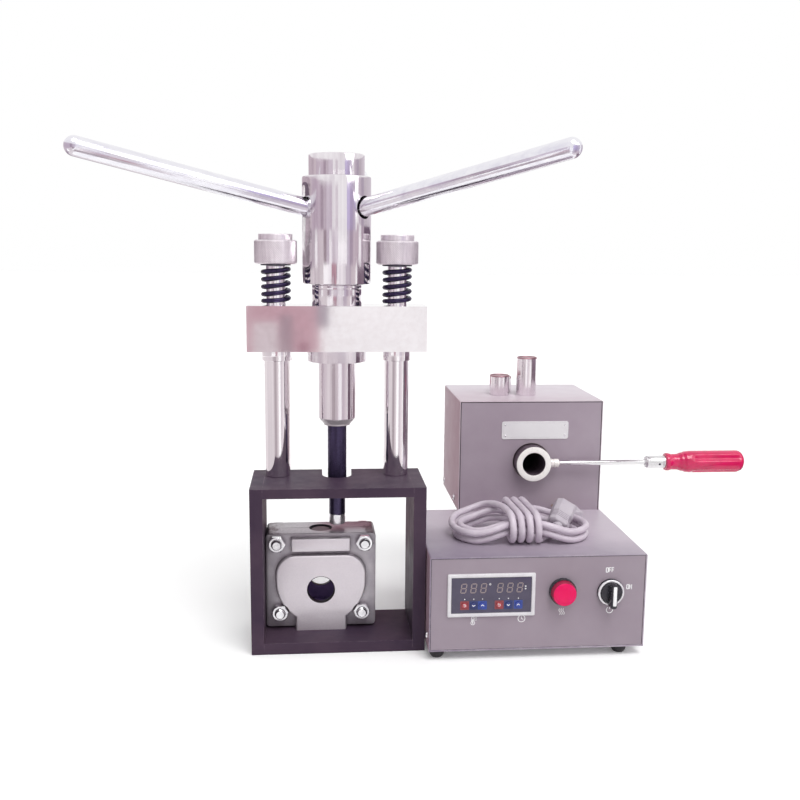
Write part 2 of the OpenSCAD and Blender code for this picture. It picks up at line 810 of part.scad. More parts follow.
module case_base() {
    inside = sheet + reveal;
    color("#8d828c") difference() {
        union() {
            block([case_x, case_y, case_z], [case_right, case_back, case_z + sheet]);
            block([case_x + inside, case_back - sheet, case_z],
                [case_right - inside, case_back, case_top - inside]);
            for (x = [case_x + inside, case_right - inside - sheet])
                block([x, case_y + 12, case_z], [x + sheet, case_back, case_z + skirt]);
        }
        side_screw_holes(case_x - 1, case_right + 1, case_screws_at);
    }
}

module case_cover() {
    color("#c7bec6") difference() {
        block([case_x, case_y, case_z + sheet], [case_right, case_back, case_top]);
        block([case_x + sheet, case_y - 1, case_z], [case_right - sheet, case_back + 1, case_top - sheet]);
        side_screw_holes(case_x - 1, case_right + 1, case_screws_at);
    }
}

module front_panel() {
    inside = sheet + reveal;
    color("#a3989f") difference() {
        block([case_x + inside, panel_y, case_z + inside],
            [case_right - inside, panel_y + panel_t, case_top - inside]);
        block([bezel_x + 1.4, panel_y - 1, bezel_z + 1.4],
            [bezel_x + bezel_w - 1.4, panel_y + panel_t + 1, bezel_z + bezel_h - 1.4]);
        for (p = [lamp_at, selector_at])
            along_y(p.x, p.y, panel_hole_d + 2 * fit, panel_y - 1, panel_y + panel_t + 1);
    }
}

module case_feet() {
    color("#1f1c20") for (p = concat(foot_at, stand_foot_at))
        translate([p.x, p.y, 0]) turned(foot_d, foot_h, 1, 0);
}

// A pan head screw along X whose head lies on the face at x
module side_screw(x, p, way) {
    translate([x, p.x, p.y]) rotate([0, way * 90, 0]) {
        turned(side_screw_head, 2, 0, 0.8);
        translate([0, 0, -5]) cylinder(d = side_screw_d, h = 6);
    }
}

module case_screws() {
    color("#cfcad0") for (s = [-1, 1]) {
        for (p = case_screws_at) side_screw(s < 0 ? case_x : case_right, p, s);
        for (p = cover_screws) side_screw(s < 0 ? furnace_x : furnace_right, p, s);
    }
}

module rear_stand() {
    right = stand_x + stand_w;
    color("#857a84") difference() {
        block([stand_x, case_back + seat, case_z], [right, stand_back, case_top]);
        block([stand_x + sheet, case_back - 1, case_z + sheet],
            [right - sheet, stand_back - sheet, case_top + 1]);
        block([inlet_at.x - inlet_w / 2 - fit, stand_back - sheet - 1, inlet_at.y - inlet_h / 2 - fit],
            [inlet_at.x + inlet_w / 2 + fit, stand_back + 1, inlet_at.y + inlet_h / 2 + fit]);
        for (k = [0 : 6]) block([stand_x + 22 + 11 * k, stand_back - sheet - 1, case_top - 30],
            [stand_x + 26 + 11 * k, stand_back + 1, case_top - 12]);
    }
}

module furnace_chassis() {
    inside = sheet + reveal;
    left = furnace_x + inside;
    right = furnace_right - inside;
    front = furnace_y + furnace_plate;
    back = furnace_back - sheet;
    color("#9d929c") difference() {
        union() {
            block([left, front, case_top], [right, back, case_top + sheet]);
            for (x = [left, right - sheet]) block([x, front, case_top], [x + sheet, back, case_top + skirt]);
        }
        side_screw_holes(furnace_x - 1, furnace_right + 1, cover_screws);
    }
}

// Front plate with the mouth, rear plate with its vents
module furnace_ends() {
    inside = sheet + reveal;
    left = furnace_x + inside;
    right = furnace_right - inside;
    high = furnace_top - inside;
    back = furnace_back - sheet;
    first_vent = mouth_x - vent_pitch * (vent_count - 1) / 2;
    color("#9d929c") {
        difference() {
            block([left, furnace_y, case_top], [right, furnace_y + furnace_plate, high]);
            along_y(mouth_x, mouth_z, furnace_bore + 2, furnace_y - 1, furnace_y + furnace_plate + 1);
        }
        difference() {
            block([left, back, case_top], [right, furnace_back, high]);
            along_y(mouth_x, mouth_z, probe_d + 1, back - 1, furnace_back + 1);
            for (k = [0 : vent_count - 1]) {
                x = first_vent + vent_pitch * k;
                block([x - vent_w / 2, back - 1, case_top + vent_z],
                    [x + vent_w / 2, furnace_back + 1, case_top + vent_z + vent_h]);
            }
        }
    }
}

module furnace_cover() {
    color("#c9c0c8") difference() {
        block([furnace_x, furnace_y, case_top + 0.2], [furnace_right, furnace_back, furnace_top]);
        block([furnace_x + sheet, furnace_y - 1, case_top - 1],
            [furnace_right - sheet, furnace_back + 1, furnace_top - sheet]);
        side_screw_holes(furnace_x - 1, furnace_right + 1, cover_screws);
    }
}

winding_d = furnace_bore + 2 * tube_wall + 2 * seat;
insulation_d = winding_d + 2 * winding_t + 2 * seat;

module insulation() {
    low = case_top + sheet + seat;
    color("#e8e2d6") difference() {
        block([furnace_x + insulation_gap, furnace_y + insulation_gap, low],
            [furnace_right - insulation_gap, furnace_back - insulation_gap, furnace_top - insulation_gap]);
        along_y(mouth_x, mouth_z, insulation_d, furnace_y, furnace_back);
    }
}

module heating_tube() {
    color("#9a8f86") difference() {
        along_y(mouth_x, mouth_z, furnace_bore + 2 * tube_wall, furnace_y + furnace_plate + seat,
            furnace_back - 9);
        along_y(mouth_x, mouth_z, furnace_bore, furnace_y, furnace_back);
    }
}

module heater_winding() {
    color("#b9a58a") difference() {
        along_y(mouth_x, mouth_z, winding_d + 2 * winding_t, furnace_y + 13, furnace_back - 17);
        along_y(mouth_x, mouth_z, winding_d, furnace_y, furnace_back);
    }
}

module thermocouple() {
    color("#a8a4a0") {
        along_y(mouth_x, mouth_z, probe_d, sleeve_y + sleeve_l + 9, furnace_back + 1);
        translate([mouth_x, furnace_back + probe_head_t, mouth_z]) rotate([90, 0, 0])
            cylinder(d = probe_head_d, h = probe_head_t, $fn = 6);
    }
}

module transformer() {
    low = case_z + sheet + seat;
    color("#6b5d4a") {
        block([case_x + 20, case_y + 104, low], [case_x + 84, case_y + 150, low + 10]);
        block([case_x + 34, case_y + 106, low + 10], [case_x + 70, case_y + 148, low + 50]);
        block([case_x + 27, case_y + 112, low + 10], [case_x + 77, case_y + 142, low + 45]);
    }
}

board_y = panel_y + bezel_deep + seat;

module control_board() {
    color("#2f6b45") {
        block([bezel_x + 2, board_y, bezel_z + 2],
            [bezel_x + bezel_w - 2, board_y + board_t, bezel_z + bezel_h - 2]);
        block([bezel_x + 52, board_y + 1, bezel_z + 12], [bezel_x + 72, board_y + 14, bezel_z + 30]);
        along_y(bezel_x + 24, bezel_z + 24, 12, board_y + 1, board_y + 17);
    }
}

module display_bezel() {
    color("#e6e2e8") difference() {
        union() {
            block([bezel_x, panel_y - bezel_t, bezel_z], [bezel_x + bezel_w, panel_y, bezel_z + bezel_h]);
            block([bezel_x + 1.6, panel_y - 1, bezel_z + 1.6],
                [bezel_x + bezel_w - 1.6, panel_y + bezel_deep, bezel_z + bezel_h - 1.6]);
        }
        block([bezel_x + bezel_rim, panel_y - bezel_t - 1, bezel_z + bezel_rim],
            [bezel_x + bezel_w - bezel_rim, panel_y + bezel_deep + 1, bezel_z + bezel_h - bezel_rim]);
    }
}

module display_window() {
    gap = bezel_rim + 0.2;
    front = panel_y - bezel_t + 0.8;
    color("#2c3346") difference() {
        block([bezel_x + gap, front, bezel_z + gap],
            [bezel_x + bezel_w - gap, front + window_t, bezel_z + bezel_h - gap]);
        for (x = key_x) along_y(x, key_z, key_d + 0.3, front - 1, front + window_t + 1);
    }
}

// A panel key with the flange that keeps it behind the window
module panel_key(k) {
    back = board_y - key_travel - 0.1;
    front = panel_y - bezel_t - 0.2;
    stop = panel_y - bezel_t + 0.8 + window_t + 0.2;
    color(k == 0 || k == 3 ? "#d0324a" : "#3e62b8") {
        along_y(key_x[k], key_z, key_d, front, back);
        along_y(key_x[k], key_z, key_d + 2.2, stop, stop + 1.1);
    }
}

module key_1() {
    panel_key(0);
}

module key_2() {
    panel_key(1);
}

module key_3() {
    panel_key(2);
}

module key_4() {
    panel_key(3);
}

module key_5() {
    panel_key(4);
}

module key_6() {
    panel_key(5);
}

// Turns a profile drawn from the panel outwards so that its axis points to the front
module on_panel(p) {
    translate([p.x, panel_y, p.y]) rotate([90, 0, 0]) children();
}

module pilot_lamp() {
    color("#e0305a") on_panel(lamp_at) {
        turned(2 * ring_r, 2, 0, 0.5);
        translate([0, 0, 1]) rotate_extrude() polygon([[0, 0], [cap_r, 0], [cap_r, 8], [cap_r - 1, 10],
            [cap_r - 3.5, 11.6], [cap_r - 8, 12.6], [0, 13]]);
        translate([0, 0, -28]) cylinder(d = panel_hole_d, h = 29);
    }
}

module selector_body() {
    block_half = 13;
    color("#c9c6cc") on_panel(selector_at) difference() {
        union() {
            turned(2 * ring_r, 4, 0, 1);
            translate([0, 0, -26]) cylinder(d = panel_hole_d, h = 27);
            translate([-block_half, -block_half, -34]) cube([2 * block_half, 2 * block_half, 22]);
        }
        translate([0, 0, -14]) cylinder(d = 12 + 2 * fit, h = 20);
        translate([0, 0, 2]) cylinder(d = 23, h = 4);
    }
}

module selector_knob() {
    color("#1c1a1e") on_panel(selector_at) {
        translate([0, 0, -12]) cylinder(d = 12, h = 15);
        translate([0, 0, 2.3]) turned(22, 3.7, 0, 0);
        translate([-3.6, -14, 5]) cube([7.2, 26, 10.5]);
    }
}

module mains_inlet() {
    x = inlet_at.x;
    z = inlet_at.y;
    mouth_y = stand_back + 3;
    color("#232026") {
        difference() {
            union() {
                block([x - 25, stand_back, z - 11.5], [x + 25, mouth_y, z + 11.5]);
                block([x - inlet_w / 2, stand_back - 22, z - inlet_h / 2],
                    [x + inlet_w / 2, stand_back + 1, z + inlet_h / 2]);
            }
            block([x - socket_w / 2, mouth_y - socket_deep, z - socket_h / 2],
                [x + socket_w / 2, mouth_y + 1, z + socket_h / 2]);
        }
        for (p = [[-7, -4.2], [7, -4.2], [0, -0.2]])
            block([x + p.x - 1, mouth_y - socket_deep - 1, z + p.y - 2], [x + p.x + 1, mouth_y - 2, z + p.y + 2]);
    }
}

module injection_sleeve() {
    color("#e9e4e2") difference() {
        union() {
            along_y(mouth_x, mouth_z, sleeve_d, sleeve_y, sleeve_y + 14);
            along_y(mouth_x, mouth_z, sleeve_back_d, sleeve_y + 13, sleeve_y + sleeve_l);
        }
        along_y(mouth_x, mouth_z, sleeve_bore, sleeve_y - 1, sleeve_y + sleeve_l + 1);
        translate([handle_x - seat, handle_y, mouth_z]) rotate([0, 90, 0]) {
            cylinder(d = stem_d + 0.4, h = 10);
            translate([0, 0, -3.2]) cylinder(d = handle_d + 2 * fit, h = 5);
        }
    }
}

module sleeve_handle() {
    neck_l = 13;
    neck_d_small = 4.4;
    color("#cfcbd0") translate([handle_x, handle_y, mouth_z]) rotate([0, 90, 0]) {
        rotate_extrude() polygon([[0, -3], [handle_d / 2, -3], [handle_d / 2, 0], [stem_d / 2, 0],
            [stem_d / 2, stem_l], [neck_d_small / 2, stem_l], [neck_d_small / 2, stem_l + neck_l],
            [handle_d / 2, stem_l + neck_l], [handle_d / 2, handle_l + 30], [0, handle_l + 30]]);
        difference() {
            translate([0, 0, handle_l - ferrule_l]) turned(ferrule_d, ferrule_l, 1.4, 0);
            translate([0, 0, handle_l - ferrule_l - 1]) cylinder(d = handle_d + 2 * fit, h = ferrule_l + 2);
        }
    }
}

module sleeve_grip() {
    r = grip_d / 2;
    l = grip_l;
    dome = [for (a = [0 : 10 : 90]) [r - 9 + 9 * cos(a), l - 9 + 9 * sin(a)]];
    color("#e0285a") translate([grip_x, handle_y, mouth_z]) rotate([0, 90, 0]) difference() {
        rotate_extrude() polygon(concat([[0, 0], [10.4, 0], [10.4, 4], [9.4, 8], [9.4, 14], [11, 20],
            [r - 0.6, 25], [r, 31]], dome, [[0, l]]));
        translate([0, 0, -1]) cylinder(d = handle_d + 2 * fit, h = 32);
    }
}

module cartridge(k) {
    p = cartridge_at[k];
    color("#c3bdc3") translate([furnace_x + p.x, furnace_y + p.y, furnace_top])
        turned(cartridge_d, p.z, 0.6, 1);
}

module cartridge_tall() {
    cartridge(0);
}

module cartridge_front() {
    cartridge(1);
}

module cartridge_rear() {
    cartridge(2);
}

module cord_hank() {
    color("#c4bec4") swept_tube(cord_path, cord_d / 2, cord_d / 2, 6);
}

// Places its children with +Z along the connector and X across its wide face
module on_connector() {
    a = connector_axis;
    translate(connector_root) rotate([0, acos(a.z), atan2(a.y, a.x)]) rotate([0, 0, connector_roll])
        children();
}

module cord_connector() {
    w = connector_w / 2;
    t = connector_t / 2;
    color("#bdb7bd") {
        on_connector() difference() {
            linear_extrude(connector_l)
                polygon([[-w, t], [-w, -t + 4.5], [4.5 - w, -t], [w - 4.5, -t], [w, -t + 4.5], [w, t]]);
            for (p = [[-7, 3], [7, 3], [0, -2.5]]) translate([p.x - 1.3, p.y - 2.4, connector_l - 12])
                cube([2.6, 4.8, 14]);
        }
        swept_tube(relief_path, 6.6, cord_d / 2 + 0.7, 12);
    }
}

module mains_plug() {
    c = plug_root;
    color("#bab4ba") {
        translate(c + [0, plug_l, 0]) rotate([90, 0, 0]) linear_extrude(plug_l)
            rounded(2 * plug_half_w, plug_h, 4);
        translate(plug_entry) rotate([-90, 0, 0]) rotate_extrude()
            polygon([[0, 0], [cord_d / 2 + 0.7, 0], [cord_d / 2 + 2.6, plug_relief], [0, plug_relief]]);
        for (k = [-1, 0, 1]) along_y(c.x + k * plug_pin.z, c.z, plug_pin.x, c.y + plug_l - 1,
            c.y + plug_l + plug_pin.y);
    }
}

base_plate();
side_plates();
top_plate();
frame_screws();
pillars();
crossbeam();
guide_tube();
lock_ring();
spring_left();
spring_right();
thrust_washer_left();
thrust_washer_right();
knurled_nut_left();
knurled_nut_right();
ram();
ram_nut();
push_rod();
hub_thrust_washers();
hub();
hub_cap();
spokes();
flask_front();
flask_rear();
flask_bolts();
case_base();
case_cover();
front_panel();
case_feet();
case_screws();
rear_stand();
furnace_chassis();
furnace_ends();
furnace_cover();
insulation();
heating_tube();
heater_winding();
thermocouple();
transformer();
control_board();
display_bezel();
display_window();
key_1();
key_2();
key_3();
key_4();
key_5();
key_6();
pilot_lamp();
selector_body();
selector_knob();
mains_inlet();
injection_sleeve();
sleeve_handle();
sleeve_grip();
cartridge_tall();
cartridge_front();
cartridge_rear();
cord_hank();
cord_connector();
mains_plug();
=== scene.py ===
import math
import bmesh
import bpy
from mathutils import Matrix, Vector


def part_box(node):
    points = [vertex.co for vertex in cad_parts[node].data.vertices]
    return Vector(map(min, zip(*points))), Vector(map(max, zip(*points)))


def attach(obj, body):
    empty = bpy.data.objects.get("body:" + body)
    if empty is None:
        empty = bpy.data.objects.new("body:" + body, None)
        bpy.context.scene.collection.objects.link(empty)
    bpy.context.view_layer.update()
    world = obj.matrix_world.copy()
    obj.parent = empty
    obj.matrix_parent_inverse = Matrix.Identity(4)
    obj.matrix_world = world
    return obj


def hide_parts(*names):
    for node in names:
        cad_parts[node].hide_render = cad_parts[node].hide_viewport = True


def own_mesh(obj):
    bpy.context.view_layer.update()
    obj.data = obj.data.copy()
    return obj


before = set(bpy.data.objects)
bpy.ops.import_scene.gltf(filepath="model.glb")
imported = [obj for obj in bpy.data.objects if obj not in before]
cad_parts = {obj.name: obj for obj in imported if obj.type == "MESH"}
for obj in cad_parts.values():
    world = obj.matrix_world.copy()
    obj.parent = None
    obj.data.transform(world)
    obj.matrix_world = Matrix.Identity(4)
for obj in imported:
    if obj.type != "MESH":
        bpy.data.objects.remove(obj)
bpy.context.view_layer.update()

# Lengths are in millimetres here and turn into metres where a mesh is made
MM = 0.001
SCENE = bpy.context.scene


def spin(degrees, axis):
    return Matrix.Rotation(math.radians(degrees), 4, axis)


FRONT = spin(90, "X")
ALONG_X = spin(90, "Y")


def extent(node):
    """Lowest and highest corner of a CAD node in millimetres."""
    low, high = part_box(node)
    return low / MM, high / MM


def middle(node, axes="xy"):
    """Centre of a CAD node's box along two axes: in plan, or seen from the front with xz."""
    low, high = extent(node)
    return tuple((getattr(low, axis) + getattr(high, axis)) / 2 for axis in axes)


def round_part(node):
    """Radius or half width, foot and top of a CAD node, such as one that was turned."""
    low, high = extent(node)
    return (high.x - low.x) / 2, low.z, high.z


def at(x, y, z, turn=Matrix.Identity(4)):
    """A placement: first the turn, then the move."""
    return Matrix.Translation((x, y, z)) @ turn


def clamp(value):
    return min(1.0, max(0.0, value))


def ease(value):
    """A smooth step from 0 to 1."""
    g = clamp(value)
    return g * g * (3 - 2 * g)


# Camera, matched to the photograph

CAMERA_AT = (-23.6, -1009.9, 422.6)
CAMERA_PITCH = 9.296
CAMERA_YAW = 5.139
CAMERA_ROLL = 0.524
FOCAL_PIXELS = 960.71
IMAGE_PIXELS = 800
SENSOR_MM = 36


def make_camera():
    pitch, yaw, roll = (math.radians(a) for a in (CAMERA_PITCH, CAMERA_YAW, CAMERA_ROLL))
    level = Vector((math.sin(yaw), math.cos(yaw), 0))
    ahead = level * math.cos(pitch) - Vector((0, 0, math.sin(pitch)))
    side = Vector((math.cos(yaw), -math.sin(yaw), 0))
    top = side.cross(ahead)
    right = side * math.cos(roll) + top * math.sin(roll)
    up = top * math.cos(roll) - side * math.sin(roll)
    data = bpy.data.cameras.new("camera")
    data.sensor_width = SENSOR_MM
    data.lens = FOCAL_PIXELS / IMAGE_PIXELS * SENSOR_MM
    data.clip_start = 0.01
    data.clip_end = 60
    camera = bpy.data.objects.new("camera", data)
    camera.matrix_world = Matrix.Translation(MM * Vector(CAMERA_AT)) @ Matrix(
        (right, up, -ahead)).transposed().to_4x4()
    SCENE.collection.objects.link(camera)
    SCENE.camera = camera


# Materials. Every one is built from nodes that read object coordinates

class Finish:
    """One procedural material, built step by step."""

    def __init__(self, name, metallic=0.0, **sockets):
        self.material = bpy.data.materials.new(name)
        self.material.use_nodes = True
        self.tree = self.material.node_tree
        self.shader = self.tree.nodes["Principled BSDF"]
        self.place = self.new("ShaderNodeTexCoord").outputs["Object"]
        self.normal = None
        self.set("Metallic", metallic)
        for socket, value in sockets.items():
            self.set(socket.replace("_", " ").title().replace("Ior", "IOR"), value)

    def new(self, kind, **inputs):
        node = self.tree.nodes.new(kind)
        for key, value in inputs.items():
            if hasattr(value, "is_output"):
                self.tree.links.new(value, node.inputs[key])
            elif key in node.inputs:
                node.inputs[key].default_value = value
            else:
                setattr(node, key, value)
        return node

    def set(self, socket, value):
        if hasattr(value, "is_output"):
            self.tree.links.new(value, self.shader.inputs[socket])
        elif isinstance(value, tuple):
            self.shader.inputs[socket].default_value = (*value, 1.0)
        else:
            self.shader.inputs[socket].default_value = value

    def noise(self, per_mm, detail=3.0, stretch=(1, 1, 1), sharp=0.55):
        """Noise of a given fineness, in features per millimetre, with stretched axes."""
        scaled = self.new("ShaderNodeMapping", Vector=self.place)
        scaled.inputs["Scale"].default_value = [s / MM * per_mm for s in stretch]
        return self.new("ShaderNodeTexNoise", Vector=scaled.outputs["Vector"], Scale=1.0, Detail=detail,
            Roughness=sharp).outputs["Fac"]

    def spread(self, fac, low, high, start=0.3, end=0.7):
        """Maps a factor from start to end on to low to high, clamped."""
        return self.new("ShaderNodeMapRange", Value=fac, **{
            "From Min": start, "From Max": end, "To Min": low, "To Max": high}).outputs["Result"]

    def math(self, operation, a, b=0.0):
        node = self.tree.nodes.new("ShaderNodeMath")
        node.operation = operation
        for socket, value in zip(node.inputs, (a, b)):
            if hasattr(value, "is_output"):
                self.tree.links.new(value, socket)
            else:
                socket.default_value = value
        return node.outputs[0]

    def times(self, a, b):
        return self.math("MULTIPLY", a, b)

    def plus(self, a, b):
        return self.math("ADD", a, b)

    def mix(self, fac, a, b):
        """Blends two colours."""
        node = self.tree.nodes.new("ShaderNodeMix")
        node.data_type = "RGBA"
        for name, value in (("Factor", fac), ("A", a), ("B", b)):
            socket = next(s for s in node.inputs if s.name == name and s.enabled)
            if hasattr(value, "is_output"):
                self.tree.links.new(value, socket)
            else:
                socket.default_value = (*value, 1.0) if isinstance(value, tuple) else value
        return next(s for s in node.outputs if s.enabled)

    def clouds(self, color, dark, per_mm, detail=4, stretch=(1, 1, 1), start=0.3, end=0.7):
        """A colour that drifts into another one in soft clouds."""
        return self.mix(self.spread(self.noise(per_mm, detail, stretch), 0, 1, start, end), color, dark)

    def specks(self, tone, dark, most):
        """Fine dark specks, like dust in enamel."""
        return self.mix(self.spread(self.noise(1.1, 2), 0, most, 0.62, 0.74), tone, dark)

    def worn(self, tone, bright, radius_mm=0.9, per_mm=0.12, detail=4, most=0.8, start=0.42, end=0.62):
        """Rubs the edges bright here and there."""
        patches = self.spread(self.noise(per_mm, detail), 0, most, start, end)
        return self.mix(self.times(self.edges(radius_mm), patches), tone, bright)

    def roughness(self, low, high, per_mm, detail=3):
        self.set("Roughness", self.spread(self.noise(per_mm, detail), low, high))

    def bump(self, height, depth_mm, strength=1.0):
        """Adds relief of a given depth."""
        node = self.new("ShaderNodeBump", Height=height, Strength=strength, Distance=depth_mm * MM)
        if self.normal is not None:
            self.tree.links.new(self.normal, node.inputs["Normal"])
        self.normal = node.outputs["Normal"]
        self.tree.links.new(self.normal, self.shader.inputs["Normal"])

    def axis(self, name):
        """One object coordinate, in millimetres."""
        split = self.new("ShaderNodeSeparateXYZ", Vector=self.place)
        return self.times(split.outputs[name], 1 / MM)

    def facing(self, name):
        """One component of the surface normal in the object's own space."""
        shape = self.new("ShaderNodeNewGeometry").outputs["Normal"]
        turned = self.new("ShaderNodeVectorTransform", Vector=shape, vector_type="NORMAL",
            convert_from="WORLD", convert_to="OBJECT").outputs["Vector"]
        return self.new("ShaderNodeSeparateXYZ", Vector=turned).outputs[name]

    def edges(self, radius_mm):
        """Near 1 on convex and concave edges, 0 on flat faces."""
        node = self.new("ShaderNodeBevel", samples=4)
        node.inputs["Radius"].default_value = radius_mm * MM
        flat = self.new("ShaderNodeNewGeometry").outputs["Normal"]
        dot = self.tree.nodes.new("ShaderNodeVectorMath")
        dot.operation = "DOT_PRODUCT"
        self.tree.links.new(node.outputs["Normal"], dot.inputs[0])
        self.tree.links.new(flat, dot.inputs[1])
        return self.spread(dot.outputs["Value"], 1.0, 0.0, 0.8, 0.995)

    def corners(self, reach_mm):
        """Near 1 in tight corners and grooves: the mask for painted shade there."""
        node = self.new("ShaderNodeAmbientOcclusion", samples=6)
        node.inputs["Distance"].default_value = reach_mm * MM
        return self.spread(node.outputs["AO"], 1.0, 0.0, 0.35, 0.95)


def painted(name, color, dark, rough, wear=None, **sockets):
    """Enamel: cloudy colour, orange peel, specks of dust and edges rubbed bright."""
    f = Finish(name, **sockets)
    tone = f.specks(f.clouds(color, dark, 0.018), dark, 0.35)
    f.set("Base Color", f.worn(tone, wear) if wear else tone)
    f.roughness(rough - 0.06, rough + 0.07, 0.05)
    f.bump(f.noise(0.9, 2), 0.02, 0.5)
    return f.material


def sheet_paint(name, color, shadow, corner):
    """The covers' enamel, with painted shade that darkens it towards one corner, and painted shade with a
    warm painted reflection on its left side.
    """
    f = Finish(name)
    x, y = corner
    # Painted shade: the colour darkens towards the given corner.
    reach = f.plus(f.times(f.math("SUBTRACT", f.axis("X"), x), 0.3), f.math("SUBTRACT", f.axis("Y"), y))
    reach = f.plus(reach, f.spread(f.noise(0.02, 3), -14, 14))
    tone = f.mix(f.spread(reach, 0, 1, -10, 120), shadow, color)
    tone = f.specks(tone, shadow, 0.3)
    # Painted shade and a warm painted reflection on faces that look left.
    left = f.math("LESS_THAN", f.facing("X"), -0.7)
    left_shade_and_reflection, bare = (0.44, 0.27, 0.32), (0.72, 0.66, 0.70)
    f.set("Base Color", f.worn(f.mix(f.times(left, 0.7), tone, left_shade_and_reflection), bare))
    f.roughness(0.34, 0.47, 0.05)
    f.bump(f.noise(0.9, 2), 0.02, 0.5)
    return f.material


def polished(name, color, tint, rough, streak=(1, 1, 0.02), line=(0.02, 0.02, 6), depth_mm=0.004,
        smear_to=0.09, **sockets):
    """Bright metal: faint streaks along one axis and fine tool marks across it."""
    f = Finish(name, metallic=1.0, **sockets)
    upright = f.spread(f.math("ABSOLUTE", f.facing("Z")), 1, 0.3, 0.3, 0.9)
    streaks = f.spread(f.noise(0.12, 3, streak), 0, 1, 0.38, 0.66)
    tone = f.mix(f.times(streaks, upright), color, tint)
    clouds = f.spread(f.noise(0.035, 4), 0, 0.35, 0.5, 0.75)
    f.set("Base Color", f.mix(f.times(clouds, upright), tone, tint))
    smear = f.spread(f.noise(0.06, 4, sharp=0.65), 0, smear_to, 0.45, 0.7)
    lines = f.noise(1.0, 2, line)
    f.set("Roughness", f.plus(f.plus(smear, f.spread(lines, -0.02, 0.03)), rough))
    f.bump(lines, depth_mm, 0.4)
    return f.material


def cast_alloy():
    """Aluminium casting: granular skin, painted shade in its corners and recesses, dark pits at the edges,
    bright machined top.
    """
    f = Finish("cast_alloy", metallic=0.72)
    grain = f.noise(1.6, 5, sharp=0.7)
    tone = f.clouds((0.50, 0.47, 0.50), (0.36, 0.33, 0.37), 0.05)
    tone = f.mix(f.spread(grain, 0, 0.5, 0.5, 0.75), tone, (0.22, 0.19, 0.22))
    # Painted shade: darker in corners and recesses.
    tone = f.mix(f.times(f.corners(4), 0.75), tone, (0.10, 0.075, 0.10))
    tone = f.worn(tone, (0.72, 0.69, 0.72), 1.2, 0.25, 4, 0.9, 0.35, 0.6)
    half = round_part("flask_front")[0]
    raised = f.spread(f.math("ABSOLUTE", f.axis("Y")), 0, 0.85, HALF_T + 3, HALF_T + 6)
    tone = f.mix(f.times(raised, f.spread(grain, 1, 0.75)), tone, (0.80, 0.75, 0.79))
    top = f.math("GREATER_THAN", f.facing("Z"), 0.9)
    end = f.math("ABSOLUTE", f.math("SUBTRACT", f.axis("X"), middle("flask_front")[0]))
    end = f.plus(end, f.spread(f.noise(0.09, 4), -9, 9))
    pitted = f.times(f.spread(end, 0, 1, half - 13, half - 5), top)
    tone = f.mix(f.times(top, 0.8), tone, (0.50, 0.45, 0.49))
    f.set("Base Color", f.mix(f.times(pitted, 0.9), tone, (0.10, 0.05, 0.07)))
    f.set("Roughness", f.math("SUBTRACT", f.spread(grain, 0.38, 0.55), f.times(top, 0.16)))
    f.bump(grain, 0.12, 0.55)
    f.bump(f.noise(0.22, 3), 0.25, 0.35)
    return f.material


def alloy_with_shaded_sides():
    """Aluminium with a bright faced end, and its sides darkened as painted shade."""
    f = Finish("sleeve_alloy", metallic=0.1)
    end = f.spread(f.math("ABSOLUTE", f.facing("Y")), 0, 1, 0.55, 0.8)
    # Painted shade: faces that don't look along the sleeve are dark.
    side_shade = f.clouds((0.050, 0.030, 0.046), (0.14, 0.10, 0.13), 0.15)
    ivory = f.clouds((1.0, 0.97, 0.94), (0.96, 0.92, 0.89), 0.12, start=0.4, end=0.75)
    f.set("Base Color", f.mix(end, side_shade, ivory))
    f.roughness(0.26, 0.4, 0.4)
    f.bump(f.noise(1.0, 2, (6, 0.02, 6)), 0.004, 0.4)
    return f.material


def knurled_alloy():
    """Light aluminium, with painted shade in the grooves of the knurl."""
    f = Finish("knurled_alloy", metallic=0.8)
    tone = f.clouds((0.88, 0.82, 0.86), (0.70, 0.64, 0.68), 0.3, 3, (1, 1, 0.15))
    # Painted shade: darker in the grooves.
    f.set("Base Color", f.mix(f.times(f.corners(1.2), 0.8), tone, (0.16, 0.13, 0.16)))
    f.roughness(0.28, 0.42, 0.8)
    f.bump(f.noise(3.0, 2), 0.02, 0.4)
    return f.material


def oxide_steel(name="oxide_steel", color=(0.030, 0.026, 0.040), bright_below=None):
    """Black oxide with worn edges, and a bright ground end below a given height."""
    f = Finish(name, metallic=0.75)
    tone = f.clouds(color, tuple(2.0 * c for c in color), 0.15, 4, (1, 1, 0.2))
    tone = f.worn(tone, (0.30, 0.28, 0.31), 0.5, 0.5, 3, 0.7, 0.4, 0.6)
    rough = f.spread(f.noise(0.4, 3), 0.24, 0.40)
    if bright_below is not None:
        ragged = f.plus(f.axis("Z"), f.spread(f.noise(0.4, 2), -0.6, 0.6))
        tip = f.math("LESS_THAN", ragged, bright_below)
        tone = f.mix(tip, tone, (0.82, 0.80, 0.83))
        rough = f.math("SUBTRACT", rough, f.times(tip, 0.16))
    f.set("Base Color", tone)
    f.set("Roughness", rough)
    f.bump(f.noise(0.9, 2, (0.3, 0.3, 5)), 0.006, 0.5)
    return f.material


def plastic(name, color, dark, rough, grain_mm=0.01, **sockets):
    """Moulded plastic: slight mottling and a fine moulded grain."""
    f = Finish(name, **sockets)
    f.set("Base Color", f.clouds(color, dark, 0.08, 3))
    f.roughness(rough - 0.05, rough + 0.06, 0.3)
    f.bump(f.noise(2.2, 2), grain_mm, 0.5)
    return f.material


def ribbed(name, color, dark, metallic, rough, along, per_mm=1.0):
    """Windings, laminations and the like: fine parallel ridges square to an axis."""
    f = Finish(name, metallic=metallic)
    wave = f.math("SINE", f.times(f.axis(along), 2 * math.pi * per_mm))
    ridge = f.spread(wave, 0, 1, -1, 1)
    f.set("Base Color", f.mix(f.times(ridge, 0.5), dark, f.clouds(color, dark, 0.2, 3)))
    f.roughness(rough - 0.05, rough + 0.08, 0.5, 2)
    f.bump(ridge, 0.15, 0.6)
    return f.material


